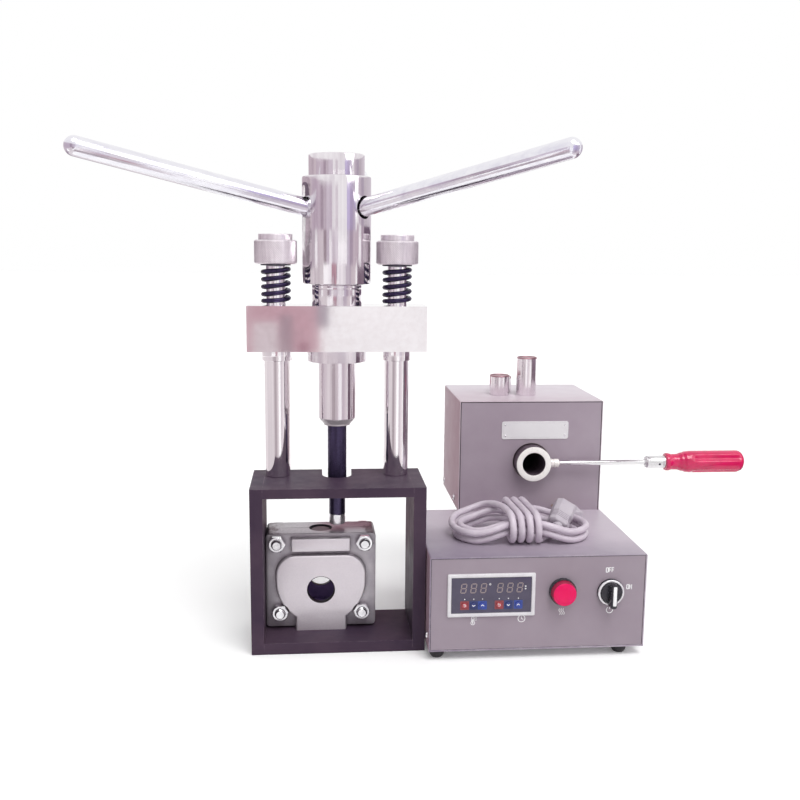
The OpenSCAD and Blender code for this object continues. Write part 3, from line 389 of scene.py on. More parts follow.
def circuit_board():
    """Green board with a pattern of copper tracks under the mask."""
    f = Finish("circuit_board", coat_weight=0.5)
    cells = f.new("ShaderNodeTexVoronoi", Vector=f.place, Scale=220.0, feature="DISTANCE_TO_EDGE")
    track = f.math("LESS_THAN", cells.outputs["Distance"], 0.07)
    f.set("Base Color", f.mix(track, (0.02, 0.13, 0.06), (0.08, 0.30, 0.12)))
    f.roughness(0.3, 0.45, 0.5, 2)
    f.bump(track, 0.05, 0.5)
    return f.material


def make_finishes():
    """Every finish by its name. The rows list what their maker takes."""
    made = {}

    def add(maker, name, *values, **sockets):
        made[name] = maker(name, *values, **sockets)

    # The covers: enamel colour, the colour of the painted shade, and the corner that the painted shade
    # darkens towards.
    for row in (
            ("case_paint", (0.54, 0.47, 0.54), (0.22, 0.175, 0.25), (101, -88)),
            ("furnace_paint", (0.68, 0.61, 0.67), (0.56, 0.44, 0.50), (120, 70))):
        add(sheet_paint, *row)
    for row in (
            ("chrome", (0.84, 0.80, 0.83), (0.68, 0.62, 0.67), 0.07),
            ("pillar_chrome", (0.95, 0.93, 0.94), (0.82, 0.78, 0.81), 0.06),
            ("turned_steel", (0.80, 0.76, 0.79), (0.62, 0.57, 0.62), 0.14),
            ("bronze", (0.72, 0.52, 0.26), (0.56, 0.38, 0.17), 0.24),
            ("cartridge_alloy", (0.95, 0.92, 0.94), (0.76, 0.70, 0.74), 0.18),
            ("stained_rim", (0.50, 0.30, 0.33), (0.36, 0.20, 0.24), 0.30),
            ("lead_metal", (0.80, 0.72, 0.55), (0.66, 0.56, 0.38), 0.2)):
        add(polished, *row)
    for row in (
            ("spring_steel", (0.020, 0.013, 0.040)),
            ("rod_steel", (0.032, 0.024, 0.056), extent("push_rod")[0].z + 11)):
        add(oxide_steel, *row)
    for row in (
            ("rubber", (0.028, 0.024, 0.030), (0.016, 0.014, 0.018), 0.62, 0.05),
            ("white_plastic", (0.78, 0.76, 0.79), (0.70, 0.67, 0.71), 0.30),
            ("black_plastic", (0.016, 0.015, 0.022), (0.03, 0.028, 0.04), 0.26),
            ("resin", (0.34, 0.20, 0.24), (0.16, 0.07, 0.10), 0.45, 0.25),
            # Painted shade: a darker copy of the lamp's red for the lens's side wall.
            ("lamp_rim", (0.42, 0.008, 0.06), (0.30, 0.006, 0.045), 0.22, 0.003),
            ("key_red", (0.46, 0.06, 0.07), (0.38, 0.04, 0.06), 0.3),
            ("key_blue", (0.045, 0.085, 0.42), (0.035, 0.06, 0.32), 0.3),
            ("key_dark", (0.03, 0.045, 0.20), (0.022, 0.03, 0.14), 0.3),
            ("field_red", (0.30, 0.05, 0.06), (0.24, 0.04, 0.05), 0.35),
            ("field_blue", (0.035, 0.075, 0.36), (0.028, 0.055, 0.28), 0.35),
            ("field_dark", (0.028, 0.045, 0.18), (0.02, 0.03, 0.12), 0.35),
            ("digit_grey", (0.34, 0.27, 0.27), (0.28, 0.22, 0.23), 0.4),
            ("print_white", (0.95, 0.94, 0.95), (0.88, 0.87, 0.89), 0.45),
            ("cord_pvc", (0.69, 0.61, 0.69), (0.59, 0.51, 0.59), 0.38, 0.02),
            ("connector_pvc", (0.56, 0.51, 0.56), (0.48, 0.43, 0.49), 0.46, 0.06),
            ("ceramic", (0.72, 0.67, 0.58), (0.60, 0.54, 0.46), 0.85, 0.30)):
        add(plastic, *row)
    for row in (
            ("winding", (0.50, 0.40, 0.28), (0.22, 0.17, 0.13), 0.6, 0.45, "Y", 0.45),
            ("laminations", (0.34, 0.28, 0.22), (0.16, 0.13, 0.11), 0.5, 0.5, "Y")):
        add(ribbed, *row)
    add(painted, "frame_paint", (0.076, 0.047, 0.073), (0.046, 0.028, 0.052), 0.46,
        wear=(0.22, 0.16, 0.20), specular_ior_level=0.13)
    # Painted shade: the furnace front and the case's front panel take darker copies of the cover enamels,
    # for the shade on upright faces.
    add(painted, "furnace_front_shaded_paint", (0.40, 0.33, 0.39), (0.35, 0.28, 0.34), 0.42, wear=(0.56, 0.50, 0.55))
    add(painted, "panel_paint", (0.35, 0.29, 0.34), (0.31, 0.25, 0.30), 0.42, wear=(0.52, 0.47, 0.51))
    add(polished, "chrome_bar", (0.86, 0.85, 0.89), (0.74, 0.72, 0.80), 0.12, streak=(0.05, 1, 1),
        line=(1, 1, 1), depth_mm=0.001)
    add(polished, "rod_chrome", (0.76, 0.75, 0.76), (0.58, 0.56, 0.58), 0.20, streak=(0.05, 1, 1),
        line=(6, 0.2, 0.2), depth_mm=0.002)
    add(polished, "beam_steel", (0.90, 0.88, 0.89), (0.86, 0.83, 0.84), 0.085, streak=(1, 1, 1),
        line=(2, 2, 2), depth_mm=0.0004, smear_to=0.03)
    add(polished, "zinc", (0.84, 0.83, 0.85), (0.66, 0.65, 0.68), 0.16, streak=(1, 1, 1), line=(1, 1, 1))
    add(plastic, "ring_chrome", (0.92, 0.90, 0.93), (0.86, 0.84, 0.88), 0.16, 0.002, metallic=0.25)
    add(painted, "plate_white", (0.84, 0.82, 0.84), (0.76, 0.73, 0.76), 0.34, wear=(0.60, 0.57, 0.60))
    add(oxide_steel, "oxide_steel")
    add(plastic, "window_plastic", (0.062, 0.048, 0.098), (0.046, 0.036, 0.078), 0.12, 0.002,
        coat_weight=0.4)
    add(plastic, "red_plastic", (0.72, 0.006, 0.112), (0.58, 0.004, 0.088), 0.14, 0.004, coat_weight=0.5,
        subsurface_weight=0.1, specular_ior_level=0.4)
    # Painted glow: the lamp is unlit, yet a faint emission brightens its red.
    add(plastic, "lamp_plastic", (0.95, 0.004, 0.12), (0.88, 0.002, 0.10), 0.2, 0.003,
        specular_ior_level=0.3, subsurface_weight=0.3, emission_color=(1.0, 0.0, 0.10),
        emission_strength=0.10)
    add(plastic, "satin_alloy", (0.62, 0.57, 0.59), (0.52, 0.47, 0.50), 0.34, 0.01, metallic=0.45)
    # Painted shade: near black for the walls of holes and the gaps between sheets.
    add(plastic, "hole_dark", (0.020, 0.012, 0.020), (0.012, 0.008, 0.014), 0.5, 0.02,
        specular_ior_level=0.2)
    add(plastic, "flask_inside", (0.46, 0.33, 0.62), (0.34, 0.24, 0.48), 0.6, 0.05, specular_ior_level=0.2)
    add(plastic, "ivory_alloy", (0.96, 0.92, 0.88), (0.86, 0.81, 0.79), 0.28, 0.004, metallic=0.15)
    add(polished, "heat_steel", (0.30, 0.25, 0.24), (0.20, 0.15, 0.17), 0.36, line=(6, 0.02, 6))
    made["knurled_alloy"] = knurled_alloy()
    made["cast_alloy"] = cast_alloy()
    made["sleeve_alloy"] = alloy_with_shaded_sides()
    made["circuit_board"] = circuit_board()
    return made


# Geometry

FINISH_SLOTS = 3
AXIS_R = 0.01


def polar(radius, angle):
    return radius * math.cos(angle), radius * math.sin(angle)


def arc_points(radius, start, end, step=12):
    """Points of an arc from one angle to another, in degrees."""
    return [polar(radius, math.radians(a)) for a in range(start, end + 1, step)]


def ring(radius, height, steps):
    """Points of a circle round the Z axis."""
    return [(*polar(radius, 2 * math.pi * k / steps), height) for k in range(steps)]


def soften(points, radius, steps=3):
    """Rounds the corners of a chain of 2D points. A point's third value is a radius of its own."""
    closed = tuple(points[0][:2]) == tuple(points[-1][:2])
    chain = points[:-1] if closed else points
    count = len(chain)
    out = []
    for i, point in enumerate(chain):
        here = Vector(point[:2])
        wanted = point[2] if len(point) > 2 else radius
        if wanted == 0 or (not closed and i in (0, count - 1)):
            out.append(tuple(here))
            continue
        back = Vector(chain[i - 1][:2]) - here
        on = Vector(chain[(i + 1) % count][:2]) - here
        half = back.angle(on) / 2
        reach = min(wanted / max(math.tan(half), 0.05), 0.45 * back.length, 0.45 * on.length)
        start, end = here + reach * back.normalized(), here + reach * on.normalized()
        for k in range(steps + 1):
            t = k / steps
            out.append(tuple((1 - t) ** 2 * start + 2 * t * (1 - t) * here + t * t * end))
    return out + out[:1] if closed else out


def rounded_rect(width, height, radius, steps=5):
    """Outline of a rectangle with round corners, centred."""
    out = []
    for quarter, (sx, sy) in enumerate(((1, 1), (-1, 1), (-1, -1), (1, -1))):
        for k in range(steps + 1):
            x, y = polar(radius, math.radians(90 * (quarter + k / steps)))
            out.append((sx * (width / 2 - radius) + x, sy * (height / 2 - radius) + y))
    return out


def shrinking(width, height, radius, dx=0, dy=0, steps=5, shrink=0.5):
    """A rounded rectangle as a function of its inset. The corners shrink with it."""
    def outline(inset):
        rect = rounded_rect(width - 2 * inset, height - 2 * inset, max(0.3, radius - shrink * inset), steps)
        return [(x + dx, y + dy) for x, y in rect]
    return outline


class Shape:
    """Points and faces of one piece, in millimetres, with a finish number for each face."""

    def __init__(self):
        self.points, self.faces, self.numbers = [], [], []

    def loft(self, rings, loop=False, place=Matrix.Identity(4), finish=0):
        """Skins a row of rings with the same number of points."""
        base, count, rows = len(self.points), len(rings[0]), len(rings)
        self.points += [place @ Vector(p) for one in rings for p in one]
        for i in range(rows if loop else rows - 1):
            a, b = base + i * count, base + (i + 1) % rows * count
            for k in range(count):
                n = (k + 1) % count
                self.face((a + k, a + n, b + n, b + k), finish)
        if not loop:
            self.face(tuple(base + k for k in reversed(range(count))), finish)
            self.face(tuple(base + (rows - 1) * count + k for k in range(count)), finish)
        return self

    def face(self, corners, finish):
        self.faces.append(corners)
        self.numbers.append(finish)

    def lathe(self, profile, place=Matrix.Identity(4), soft=0.3, steps=96, finish=0):
        """Turns a profile of (radius, height) about Z. A closed profile gives a ring."""
        chain = soften(profile, soft) if soft else [p[:2] for p in profile]
        loop = chain[0] == chain[-1]
        rings = [ring(max(r, AXIS_R), h, steps) for r, h in (chain[:-1] if loop else chain)]
        return self.loft(rings, loop, place, finish)

    def cylinder(self, radius, low, high, place=Matrix.Identity(4), steps=64, finish=0):
        return self.lathe([(0, low), (radius, low), (radius, high), (0, high)], place, 0, steps, finish)

    def slab(self, outline, low, high, place=Matrix.Identity(4), finish=0):
        """Extrudes a 2D outline along Z."""
        return self.loft([[(x, y, z) for x, y in outline] for z in (low, high)], place=place, finish=finish)

    def stack(self, outline, levels, place=Matrix.Identity(4), finish=0):
        """Skins outline(inset) through levels of (inset, z)."""
        return self.loft([[(x, y, z) for x, y in outline(inset)] for inset, z in levels], place=place,
            finish=finish)

    def tube(self, path, radii, sides):
        """Sweeps a circle along a path, with a radius for each point."""
        path = [Vector(p) for p in path]
        last = len(path) - 1
        rings, normal = [], Vector((0, 0, 1))
        for i, point in enumerate(path):
            way = (path[min(i + 1, last)] - path[max(i - 1, 0)]).normalized()
            normal = (normal - way * normal.dot(way)).normalized()
            across = way.cross(normal)
            rings.append([point + radii[i] * (math.cos(2 * math.pi * k / sides) * normal
                + math.sin(2 * math.pi * k / sides) * across) for k in range(sides)])
        return self.loft(rings)

    def stroke(self, path, width, low, high, place=Matrix.Identity(4), closed=False, finish=0):
        """A flat line of a given width along a 2D path, with mitred corners."""
        points = [Vector(p[:2]) for p in path]
        count = len(points)
        ways = [(points[(i + 1) % count] - points[i]).normalized() for i in range(count)]
        rings = []
        for i, here in enumerate(points):
            back = ways[i - 1] if i or closed else ways[0]
            on = ways[i] if i < count - 1 or closed else ways[i - 1]
            side = (Vector((-back.y, back.x)) + Vector((-on.y, on.x))).normalized()
            side *= width / 2 / max(0.4, side.dot(Vector((-on.y, on.x))))
            left, right = here + side, here - side
            rings.append([(*left, low), (*right, low), (*right, high), (*left, high)])
        return self.loft(rings, closed, place, finish)

    def join(self, other, place=Matrix.Identity(4), finish=None):
        """Adds another shape's faces."""
        base = len(self.points)
        self.points += [place @ p for p in other.points]
        for corners, number in zip(other.faces, other.numbers):
            self.face(tuple(base + c for c in corners), number if finish is None else finish)
        return self

    def piece(self, name, *details):
        """Makes a finished piece of the shape; the details are those of finish_piece."""
        return finish_piece(self.build(name), *details)

    def build(self, name):
        """Makes a Blender object of the shape, in metres."""
        mesh = bpy.data.meshes.new(name)
        mesh.from_pydata([tuple(MM * p) for p in self.points], [], self.faces)
        mesh.polygons.foreach_set("material_index", self.numbers)
        edit = bmesh.new()
        edit.from_mesh(mesh)
        bmesh.ops.recalc_face_normals(edit, faces=edit.faces)
        edit.to_mesh(mesh)
        edit.free()
        obj = bpy.data.objects.new(name, mesh)
        SCENE.collection.objects.link(obj)
        return obj


def combine(obj, cutter, operation="DIFFERENCE"):
    """Cuts obj with another object, or joins or intersects them, and removes the other one."""
    # Both have the same empty slots, so that the faces keep their finish numbers
    for one in (obj, cutter):
        while len(one.data.materials) < FINISH_SLOTS:
            one.data.materials.append(None)
    modifier = obj.modifiers.new("combine", "BOOLEAN")
    modifier.operation = operation
    modifier.object = cutter
    modifier.solver = "EXACT"
    graph = bpy.context.evaluated_depsgraph_get()
    made = bpy.data.meshes.new_from_object(obj.evaluated_get(graph))
    obj.modifiers.clear()
    obj.data = made
    bpy.data.objects.remove(cutter)
    return obj


def move(obj, place):
    """Moves a mesh by a placement in millimetres."""
    obj.data.transform(Matrix.Scale(MM, 4) @ place @ Matrix.Scale(1 / MM, 4))
    return obj


def merge(obj, other):
    """Adds the other object's faces to obj and removes it."""
    edit = bmesh.new()
    edit.from_mesh(obj.data)
    edit.from_mesh(other.data)
    edit.to_mesh(obj.data)
    edit.free()
    bpy.data.objects.remove(other)
    return obj


def repeat(obj, places):
    """Copies of an object's mesh at several placements, joined in that object."""
    edit = bmesh.new()
    for place in places:
        one = obj.data.copy()
        one.transform(Matrix.Scale(MM, 4) @ place @ Matrix.Scale(1 / MM, 4))
        edit.from_mesh(one)
        bpy.data.meshes.remove(one)
    edit.to_mesh(obj.data)
    edit.free()
    return obj


def bevelled(obj, width_mm, segments=2, angle=35):
    """Rounds the edges of a piece or of a CAD node with a modifier."""
    modifier = obj.modifiers.new("rounding", "BEVEL")
    modifier.width = width_mm * MM
    modifier.segments = segments
    modifier.limit_method = "ANGLE"
    modifier.angle_limit = math.radians(angle)
    modifier.harden_normals = True
    return obj


def finish_piece(obj, finishes, body, slot=None, stands_for=(), angle=32):
    """Gives a piece its materials and its body, and hides the CAD nodes that it stands for. Its slot is not
    used.
    """
    names = [finishes] if isinstance(finishes, str) else finishes
    slots = obj.data.materials
    while len(slots) > len(names):
        slots.pop()
    for number, name in enumerate(names):
        if number < len(slots):
            slots[number] = FINISHES[name]
        else:
            slots.append(FINISHES[name])
    if obj.type == "MESH":
        obj.data.shade_smooth()
        obj.data.set_sharp_from_angle(angle=math.radians(angle))
    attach(obj, body)
    if stands_for:
        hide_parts(*stands_for)
    return obj


def dress(node, finish, rounding=0.0, segments=2):
    """Keeps a CAD node and gives it a finish and softened edges."""
    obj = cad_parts[node]
    for slot in obj.material_slots:
        slot.material = FINISHES[finish]
    if rounding:
        bevelled(obj, rounding, segments)


# Mains lead. Its route repeats the one of the CAD source

CORD_D = 7.2
CASE_TOP = extent("case_cover")[1].z
SEAT = 0.3
HANK_AT = (196, -18)
HANK_BASE = CASE_TOP + SEAT + CORD_D / 2
HANK_HALF_L = 73
HANK_END_R = 37
HANK_WAIST = 25
LAYER_STEP = CORD_D + 1.7
LOOP_FROM = 0.36
LOOP_TO = 3
LOOP_INSETS = ((1.05, 0), (1.36, CORD_D + 1.3), (1.75, CORD_D + 4), (LOOP_TO, 0))
LOOP_DROP_AT = 1.75
WAIST_LIFT = 9
WAIST_FLAT = 16
WAIST_SLOPE = 40
WRAP_FROM_X = 210
WRAP_STEP = 9
WRAP_FLAT = 27
WRAP_R = 14
WRAP_OVER = 13
WRAP_UNDER = 35
PLUG_HALF_W = 15
PLUG_L = 29
PLUG_H = 13
PLUG_RELIEF = 12
PLUG_PIN = (4, 18, 9.5)
PLUG_ROOT = Vector((265.5, 26, CASE_TOP + SEAT + PLUG_H / 2))
CONNECTOR_ROOT = Vector((237.3, -25.7, 122.5))
CONNECTOR_AXIS = Vector((0.47, 0.717, 0.515)).normalized()
CONNECTOR_ROLL = -54
CONNECTOR_L = 32
CONNECTOR_W = 24
CONNECTOR_T = 15.5
RELIEF_END = Vector((222, -38, 115))
RELIEF_OUT = Vector((-0.7, -0.7, -0.1)).normalized()
RELIEF_ROOT_R = 6.6
RELIEF_RIBS = 8
RIB_H = 0.55
WRAP_RINGS = 150
LOOP_RINGS = 56

HANK_C = HANK_HALF_L - HANK_END_R
HANK_TURN = 2 * math.atan((HANK_END_R - HANK_WAIST) / HANK_C)
HANK_WAIST_R = HANK_C / math.sin(HANK_TURN) - HANK_END_R


def quarter(share, inset):
    """A quarter of the hank's outline: an end arc, then the arc of the drawn-in waist."""
    end_r, waist_r = HANK_END_R - inset, HANK_WAIST_R + inset
    end_l = end_r * (math.pi / 2 + HANK_TURN)
    s = share * (end_l + waist_r * HANK_TURN)
    if s <= end_l:
        return HANK_C + end_r * math.cos(s / end_r), end_r * math.sin(s / end_r)
    left = HANK_TURN - (s - end_l) / waist_r
    return waist_r * math.sin(left), HANK_WAIST + HANK_WAIST_R - waist_r * math.cos(left)


def plan(turn, inset):
    """Plan of the hank at a number of turns."""
    q = 4 * (turn - math.floor(turn))
    k = min(3, math.floor(q))
    x, y = quarter(q - k if k % 2 == 0 else k + 1 - q, inset)
    return (1 if k in (0, 3) else -1) * x, (1 if k < 2 else -1) * y


def inset_at(turn):
    for (t0, i0), (t1, i1) in zip(LOOP_INSETS, LOOP_INSETS[1:]):
        if turn <= t1:
            return i0 + (i1 - i0) * clamp((turn - t0) / (t1 - t0))
    return LOOP_INSETS[-1][1]


def loop_point(turn):
    x, y = plan(turn, inset_at(turn))
    rise = WAIST_LIFT * (1 - ease((abs(x) - WAIST_FLAT) / WAIST_SLOPE))
    layer = LAYER_STEP * (1 - ease(2 * (turn - LOOP_DROP_AT) + 0.5))
    crossing = CORD_D * (1 - ease((turn - LOOP_FROM) * 5))
    return Vector((HANK_AT[0] + x, HANK_AT[1] + y, HANK_BASE + rise + layer + crossing))


WRAP_HALF = 2 * WRAP_FLAT + math.pi * WRAP_R


def wrap_point(along):
    """A point of the turns that bind the waist: round the front, over the top, down the rear."""
    way = 1 if math.floor(along / WRAP_HALF) % 2 == 0 else -1
    u = along - WRAP_HALF * math.floor(along / WRAP_HALF)
    a = u / WRAP_R
    if a < math.pi:
        y, z = -WRAP_FLAT - WRAP_R * math.sin(a), -WRAP_R * math.cos(a)
    else:
        y, z = u - math.pi * WRAP_R - WRAP_FLAT, WRAP_R
    return Vector((WRAP_FROM_X - WRAP_STEP * along / (2 * WRAP_HALF), HANK_AT[1] + way * y,
        HANK_BASE + WRAP_R + way * z))


def bridge(a, b, c, d, f):
    """A smooth stretch from a to d that leaves towards b and arrives from c."""
    g = 1 - f
    return g ** 3 * a + 3 * f * g * g * b + 3 * f * f * g * c + f ** 3 * d


def cord_route():
    """Points of the lead's centreline from the connector's strain relief to the plug's.

    The number before a way says how far a bridge pulls along it, in millimetres.
    """
    wrap_from = WRAP_R * math.radians(WRAP_UNDER)
    wrap_to = 6 * WRAP_HALF + math.pi * WRAP_R + WRAP_FLAT - WRAP_OVER
    tail_from = RELIEF_END + CORD_D * RELIEF_OUT
    tail_to = wrap_point(wrap_from)
    tail_way = (wrap_point(wrap_from + 1) - tail_to).normalized()
    over_from, over_to = wrap_point(wrap_to), loop_point(LOOP_FROM)
    over_way = (over_from - wrap_point(wrap_to - 1)).normalized()
    over_end_way = (loop_point(LOOP_FROM + 0.01) - over_to).normalized()
    lead_from = loop_point(LOOP_TO)
    lead_way = (lead_from - loop_point(LOOP_TO - 0.01)).normalized()
    entry = PLUG_ROOT - Vector((0, PLUG_RELIEF, 0))
    before_entry = entry - Vector((0, CORD_D, 0))
    loops = round(LOOP_RINGS * (LOOP_TO - LOOP_FROM))
    route = [RELIEF_END]
    route += [bridge(tail_from, tail_from + 4 * RELIEF_OUT, tail_to - 4 * tail_way, tail_to, k / 8)
        for k in range(8)]
    route += [wrap_point(wrap_from + (wrap_to - wrap_from) * k / WRAP_RINGS) for k in range(WRAP_RINGS)]
    route += [bridge(over_from, over_from + 27 * over_way, over_to - 15 * over_end_way, over_to, k / 14)
        for k in range(14)]
    route += [loop_point(LOOP_FROM + k / LOOP_RINGS) for k in range(loops)]
    route += [bridge(lead_from, lead_from + 9 * lead_way, entry - Vector((0, 16, 2.5)), before_entry,
        k / 8) for k in range(8)]
    return route + [before_entry, (before_entry + entry) / 2, entry]


def connector_place():
    """Local +Z runs along the connector, X across its wide face."""
    a = CONNECTOR_AXIS
    aim = Matrix.Rotation(math.atan2(a.y, a.x), 4, "Z") @ Matrix.Rotation(math.acos(a.z), 4, "Y")
    return Matrix.Translation(CONNECTOR_ROOT) @ aim @ spin(CONNECTOR_ROLL, "Z")


def connector_outline(inset):
    w, t, cut = CONNECTOR_W / 2 - inset, CONNECTOR_T / 2 - inset, 4.5
    return soften([(-w, t), (-w, cut - t), (cut - w, -t), (w - cut, -t), (w, cut - t), (w, t), (-w, t)],
        1.2)[:-1]


def make_connector():
    """Appliance connector: chamfered body, grip ridges, mould seam, three slots, ribbed relief."""
    levels = [(2.6, 0), (1.0, 1.0), (0.4, 2.2), (0.4, 6.0)]
    for k in range(4):
        z = 6.4 + 2.1 * k
        levels += [(0.4, z), (0.95, z + 0.5), (0.95, z + 1.0), (0.4, z + 1.5)]
    levels += [(0.4, 15.0), (0.0, 15.8), (0.0, CONNECTOR_L - 1.0), (0.9, CONNECTOR_L)]
    obj = Shape().stack(connector_outline, levels).build("lead_connector")
    slots = Shape()
    for x, y in ((-7, 3), (7, 3), (0, -2.5)):
        slots.slab(rounded_rect(2.6, 4.8, 0.4), CONNECTOR_L - 12, CONNECTOR_L + 1, at(x, y, 0))
    combine(obj, slots.build("slots"))
    bevelled(move(obj, connector_place()), 0.25)
    relief = Shape()
    steps = 72
    path, radii = [], []
    for k in range(steps + 1):
        f = k / steps
        path.append(bridge(CONNECTOR_ROOT + 1.2 * CONNECTOR_AXIS, CONNECTOR_ROOT - 8 * CONNECTOR_AXIS,
            RELIEF_END - 8 * RELIEF_OUT, RELIEF_END, f))
        rib = RIB_H if 0.14 < f < 0.9 and math.sin(2 * math.pi * RELIEF_RIBS * f) > 0.1 else 0.0
        radii.append(RELIEF_ROOT_R + (CORD_D / 2 + 0.7 - RELIEF_ROOT_R) * f - RIB_H + rib)
    relief.tube(path, radii, 24)
    relief_obj = relief.build("connector_relief")
    finish_piece(obj, "connector_pvc", "heater", "cord_pvc", ("cord_connector",))
    finish_piece(relief_obj, "connector_pvc", "heater", "cord_pvc")
    return [obj, relief_obj]


def make_plug():
    """Flat plug: soft-edged body, gripping dents, ribbed relief and three round pins."""
    levels = [(1.6, 0), (0.5, 0.7), (0, 2)]
    for k in range(4):
        z = 7 + 3 * k
        levels += [(0, z), (0.6, z + 0.6), (0.6, z + 1.4), (0, z + 2)]
    levels += [(0, PLUG_L - 1), (0.8, PLUG_L)]
    along = at(*PLUG_ROOT, spin(-90, "X"))
    body = Shape().stack(shrinking(2 * PLUG_HALF_W, PLUG_H, 4, shrink=1), levels, along)
    wide, narrow = CORD_D / 2 + 2.6, CORD_D / 2 + 0.7
    profile = [(0, -PLUG_RELIEF), (narrow, -PLUG_RELIEF)]
    for k in range(4):
        z = 2.4 * k + 1.2 - PLUG_RELIEF
        r = narrow + (wide - narrow) * (z + PLUG_RELIEF) / PLUG_RELIEF
        profile += [(r, z), (r - 0.6, z + 0.3), (r - 0.6, z + 1.2), (r + 0.1, z + 1.5)]
    profile += [(wide, 0), (wide, 1), (0, 1)]
    body.lathe(profile, along, 0.15, 40)
    pins = Shape()
    for k in (-1, 0, 1):
        pins.lathe([(0, PLUG_L - 1), (PLUG_PIN[0] / 2, PLUG_L - 1),
            (PLUG_PIN[0] / 2, PLUG_L + PLUG_PIN[1]), (0, PLUG_L + PLUG_PIN[1])],
            along @ at(k * PLUG_PIN[2], 0, 0), 0.9, 28)
    plug = body.piece("lead_plug", "connector_pvc", "heater", "cord_pvc", ("mains_plug",))
    metal = pins.piece("plug_pins", "lead_metal", "heater", "zinc_steel")
    return [plug, metal]


def make_cord():
    route = cord_route()
    curve = bpy.data.curves.new("mains_lead", "CURVE")
    curve.dimensions = "3D"
    curve.bevel_depth = CORD_D / 2 * MM
    curve.bevel_resolution = 6
    curve.use_fill_caps = True
    spline = curve.splines.new("POLY")
    spline.points.add(len(route) - 1)
    for point, place in zip(spline.points, route):
        point.co = (*(MM * place), 1)
    spline.use_smooth = True
    lead = bpy.data.objects.new("mains_lead", curve)
    SCENE.collection.objects.link(lead)
    finish_piece(lead, "cord_pvc", "heater", "cord_pvc", ("cord_hank",))
    make_connector() + make_plug()


# Press

PILLAR_R = 13
SPIGOT_R = 8
SHOULDER_R = 15.25
SHOULDER_H = 11
NECK_R = 10
SPRING_WIRE = 4.6
SPRING_MEAN_R = 13.2
SPRING_TURNS = 5
SPRING_CLOSE_TURNS = 0.6
NUT_BODY_H = 24.5
BOSS_R = 17.5
KNURLS = 60
KNURL_DEPTH = 0.4
RAM_NECK_R = 10
RAM_BEVEL = 5.5
RAM_LIP = 2
ROD_TIP_R = 8.65
GUIDE_R = 23
FIT = 0.08
HUB_ROOF = 12
CAP_WALL = 4.8
CAP_TOP = 4
SPOKE_R = 9.5
SPOKE_SPIGOT_R = 6
SPOKE_SEAT = 30
SPOKE_HOLE_R = 11.3
SPOKE_REACH = 263
SPOKE_SLOPE = 12.4
SPOKE_TURN = -38
SPOKE_DROP = 39.3


def make_pillars():
    foot, top = round_part("pillars")[1:]
    deck, beam = extent("top_plate")[1].z, extent("crossbeam")[0].z
    pillars = Shape()
    for node in ("knurled_nut_left", "knurled_nut_right"):
        pillars.lathe([(0, foot), (SPIGOT_R, foot), (SPIGOT_R, deck), (PILLAR_R, deck, 1.0),
            (PILLAR_R, beam - SHOULDER_H, 0.5), (SHOULDER_R, beam - SHOULDER_H, 0.7),
            (SHOULDER_R, beam, 0.5), (NECK_R, beam, 0.3), (NECK_R, top, 1.2), (0, top)],
            at(middle(node)[0], 0, 0), 0.4)
    pillars.piece("turned_pillars", "pillar_chrome", "frame", "chrome_steel", ("pillars",))


def spring_rise(turn, height):
    """Height of the spring's wire: both ends are wound close, the middle is open."""
    close = SPRING_WIRE + 0.5
    open_turns = SPRING_TURNS - 2 * SPRING_CLOSE_TURNS
    pitch = (height - SPRING_WIRE - 2 * SPRING_CLOSE_TURNS * close) / open_turns
    low = min(turn, SPRING_CLOSE_TURNS)
    middle_part = max(0, min(turn, SPRING_TURNS - SPRING_CLOSE_TURNS) - SPRING_CLOSE_TURNS)
    high = max(0, turn - SPRING_TURNS + SPRING_CLOSE_TURNS)
    return close * (low + high) + pitch * middle_part


def make_springs():
    rings_a_turn = 36
    for side in ("left", "right"):
        foot, top = round_part(f"spring_{side}")[1:]
        x = middle(f"knurled_nut_{side}")[0]
        path = []
        for k in range(round(SPRING_TURNS * rings_a_turn) + 1):
            turn = k / rings_a_turn
            px, py = polar(SPRING_MEAN_R, 2 * math.pi * (turn + 0.25))
            path.append((x + px, py, foot + SPRING_WIRE / 2 + spring_rise(turn, top - foot)))
        taper = [SPRING_WIRE / 2 * (1 - 0.25 * (1 - ease(min(k, len(path) - 1 - k) / 9)))
            for k in range(len(path))]
        spring = Shape().tube(path, taper, 18).piece(f"pressure_spring_{side}", "spring_steel", "frame",
            "spring_steel", (f"spring_{side}",))
        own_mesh(spring)


def knurl(angle, height, radius):
    """Radius of a diamond knurl at an angle and height."""
    pitch = 2 * math.pi * radius / KNURLS
    a, b = angle * KNURLS / (2 * math.pi), height / pitch
    ridge = min(abs((a + s * b) % 1 - 0.5) for s in (1, -1)) * 2
    return radius - KNURL_DEPTH * (1 - clamp(1.7 * ridge))


def make_nuts():
    steps, row_h, margin = 6 * KNURLS, 0.42, 1.2
    for side in ("left", "right"):
        node = f"knurled_nut_{side}"
        radius, foot, end = round_part(node)
        top = foot + NUT_BODY_H
        bore = NECK_R + 0.06
        start = ((bore, foot), (radius - 1.8, foot), (radius - 0.9, foot + 0.7))
        rings = [ring(r, z, steps) for r, z in start]
        height = NUT_BODY_H - 2 * margin
        rows = round(height / row_h)
        for i in range(rows + 1):
            z = foot + margin + i * height / rows
            edge = clamp(min(i, rows - i) / 2)
            row = []
            for k in range(steps):
                a = 2 * math.pi * k / steps
                r = radius - 0.25 + edge * (knurl(a, z, radius) - radius + 0.25)
                row.append((*polar(r, a), z))
            rings.append(row)
        cap = soften([(radius - 0.9, top - 0.7), (radius - 1.8, top), (BOSS_R, top), (BOSS_R, end, 0.9),
            (bore + 1.2, end), (bore, end - 1.2)], 0.3)
        rings += [ring(r, z, steps) for r, z in cap]
        nut = Shape().loft(rings, loop=True, place=at(middle(node)[0], 0, 0))
        nut.piece(f"knurled_nut_body_{side}", "knurled_alloy", f"nut_{side}", "beam_steel", (node,), 40)
        dress(f"thrust_washer_{side}", "oxide_steel", 0.3)


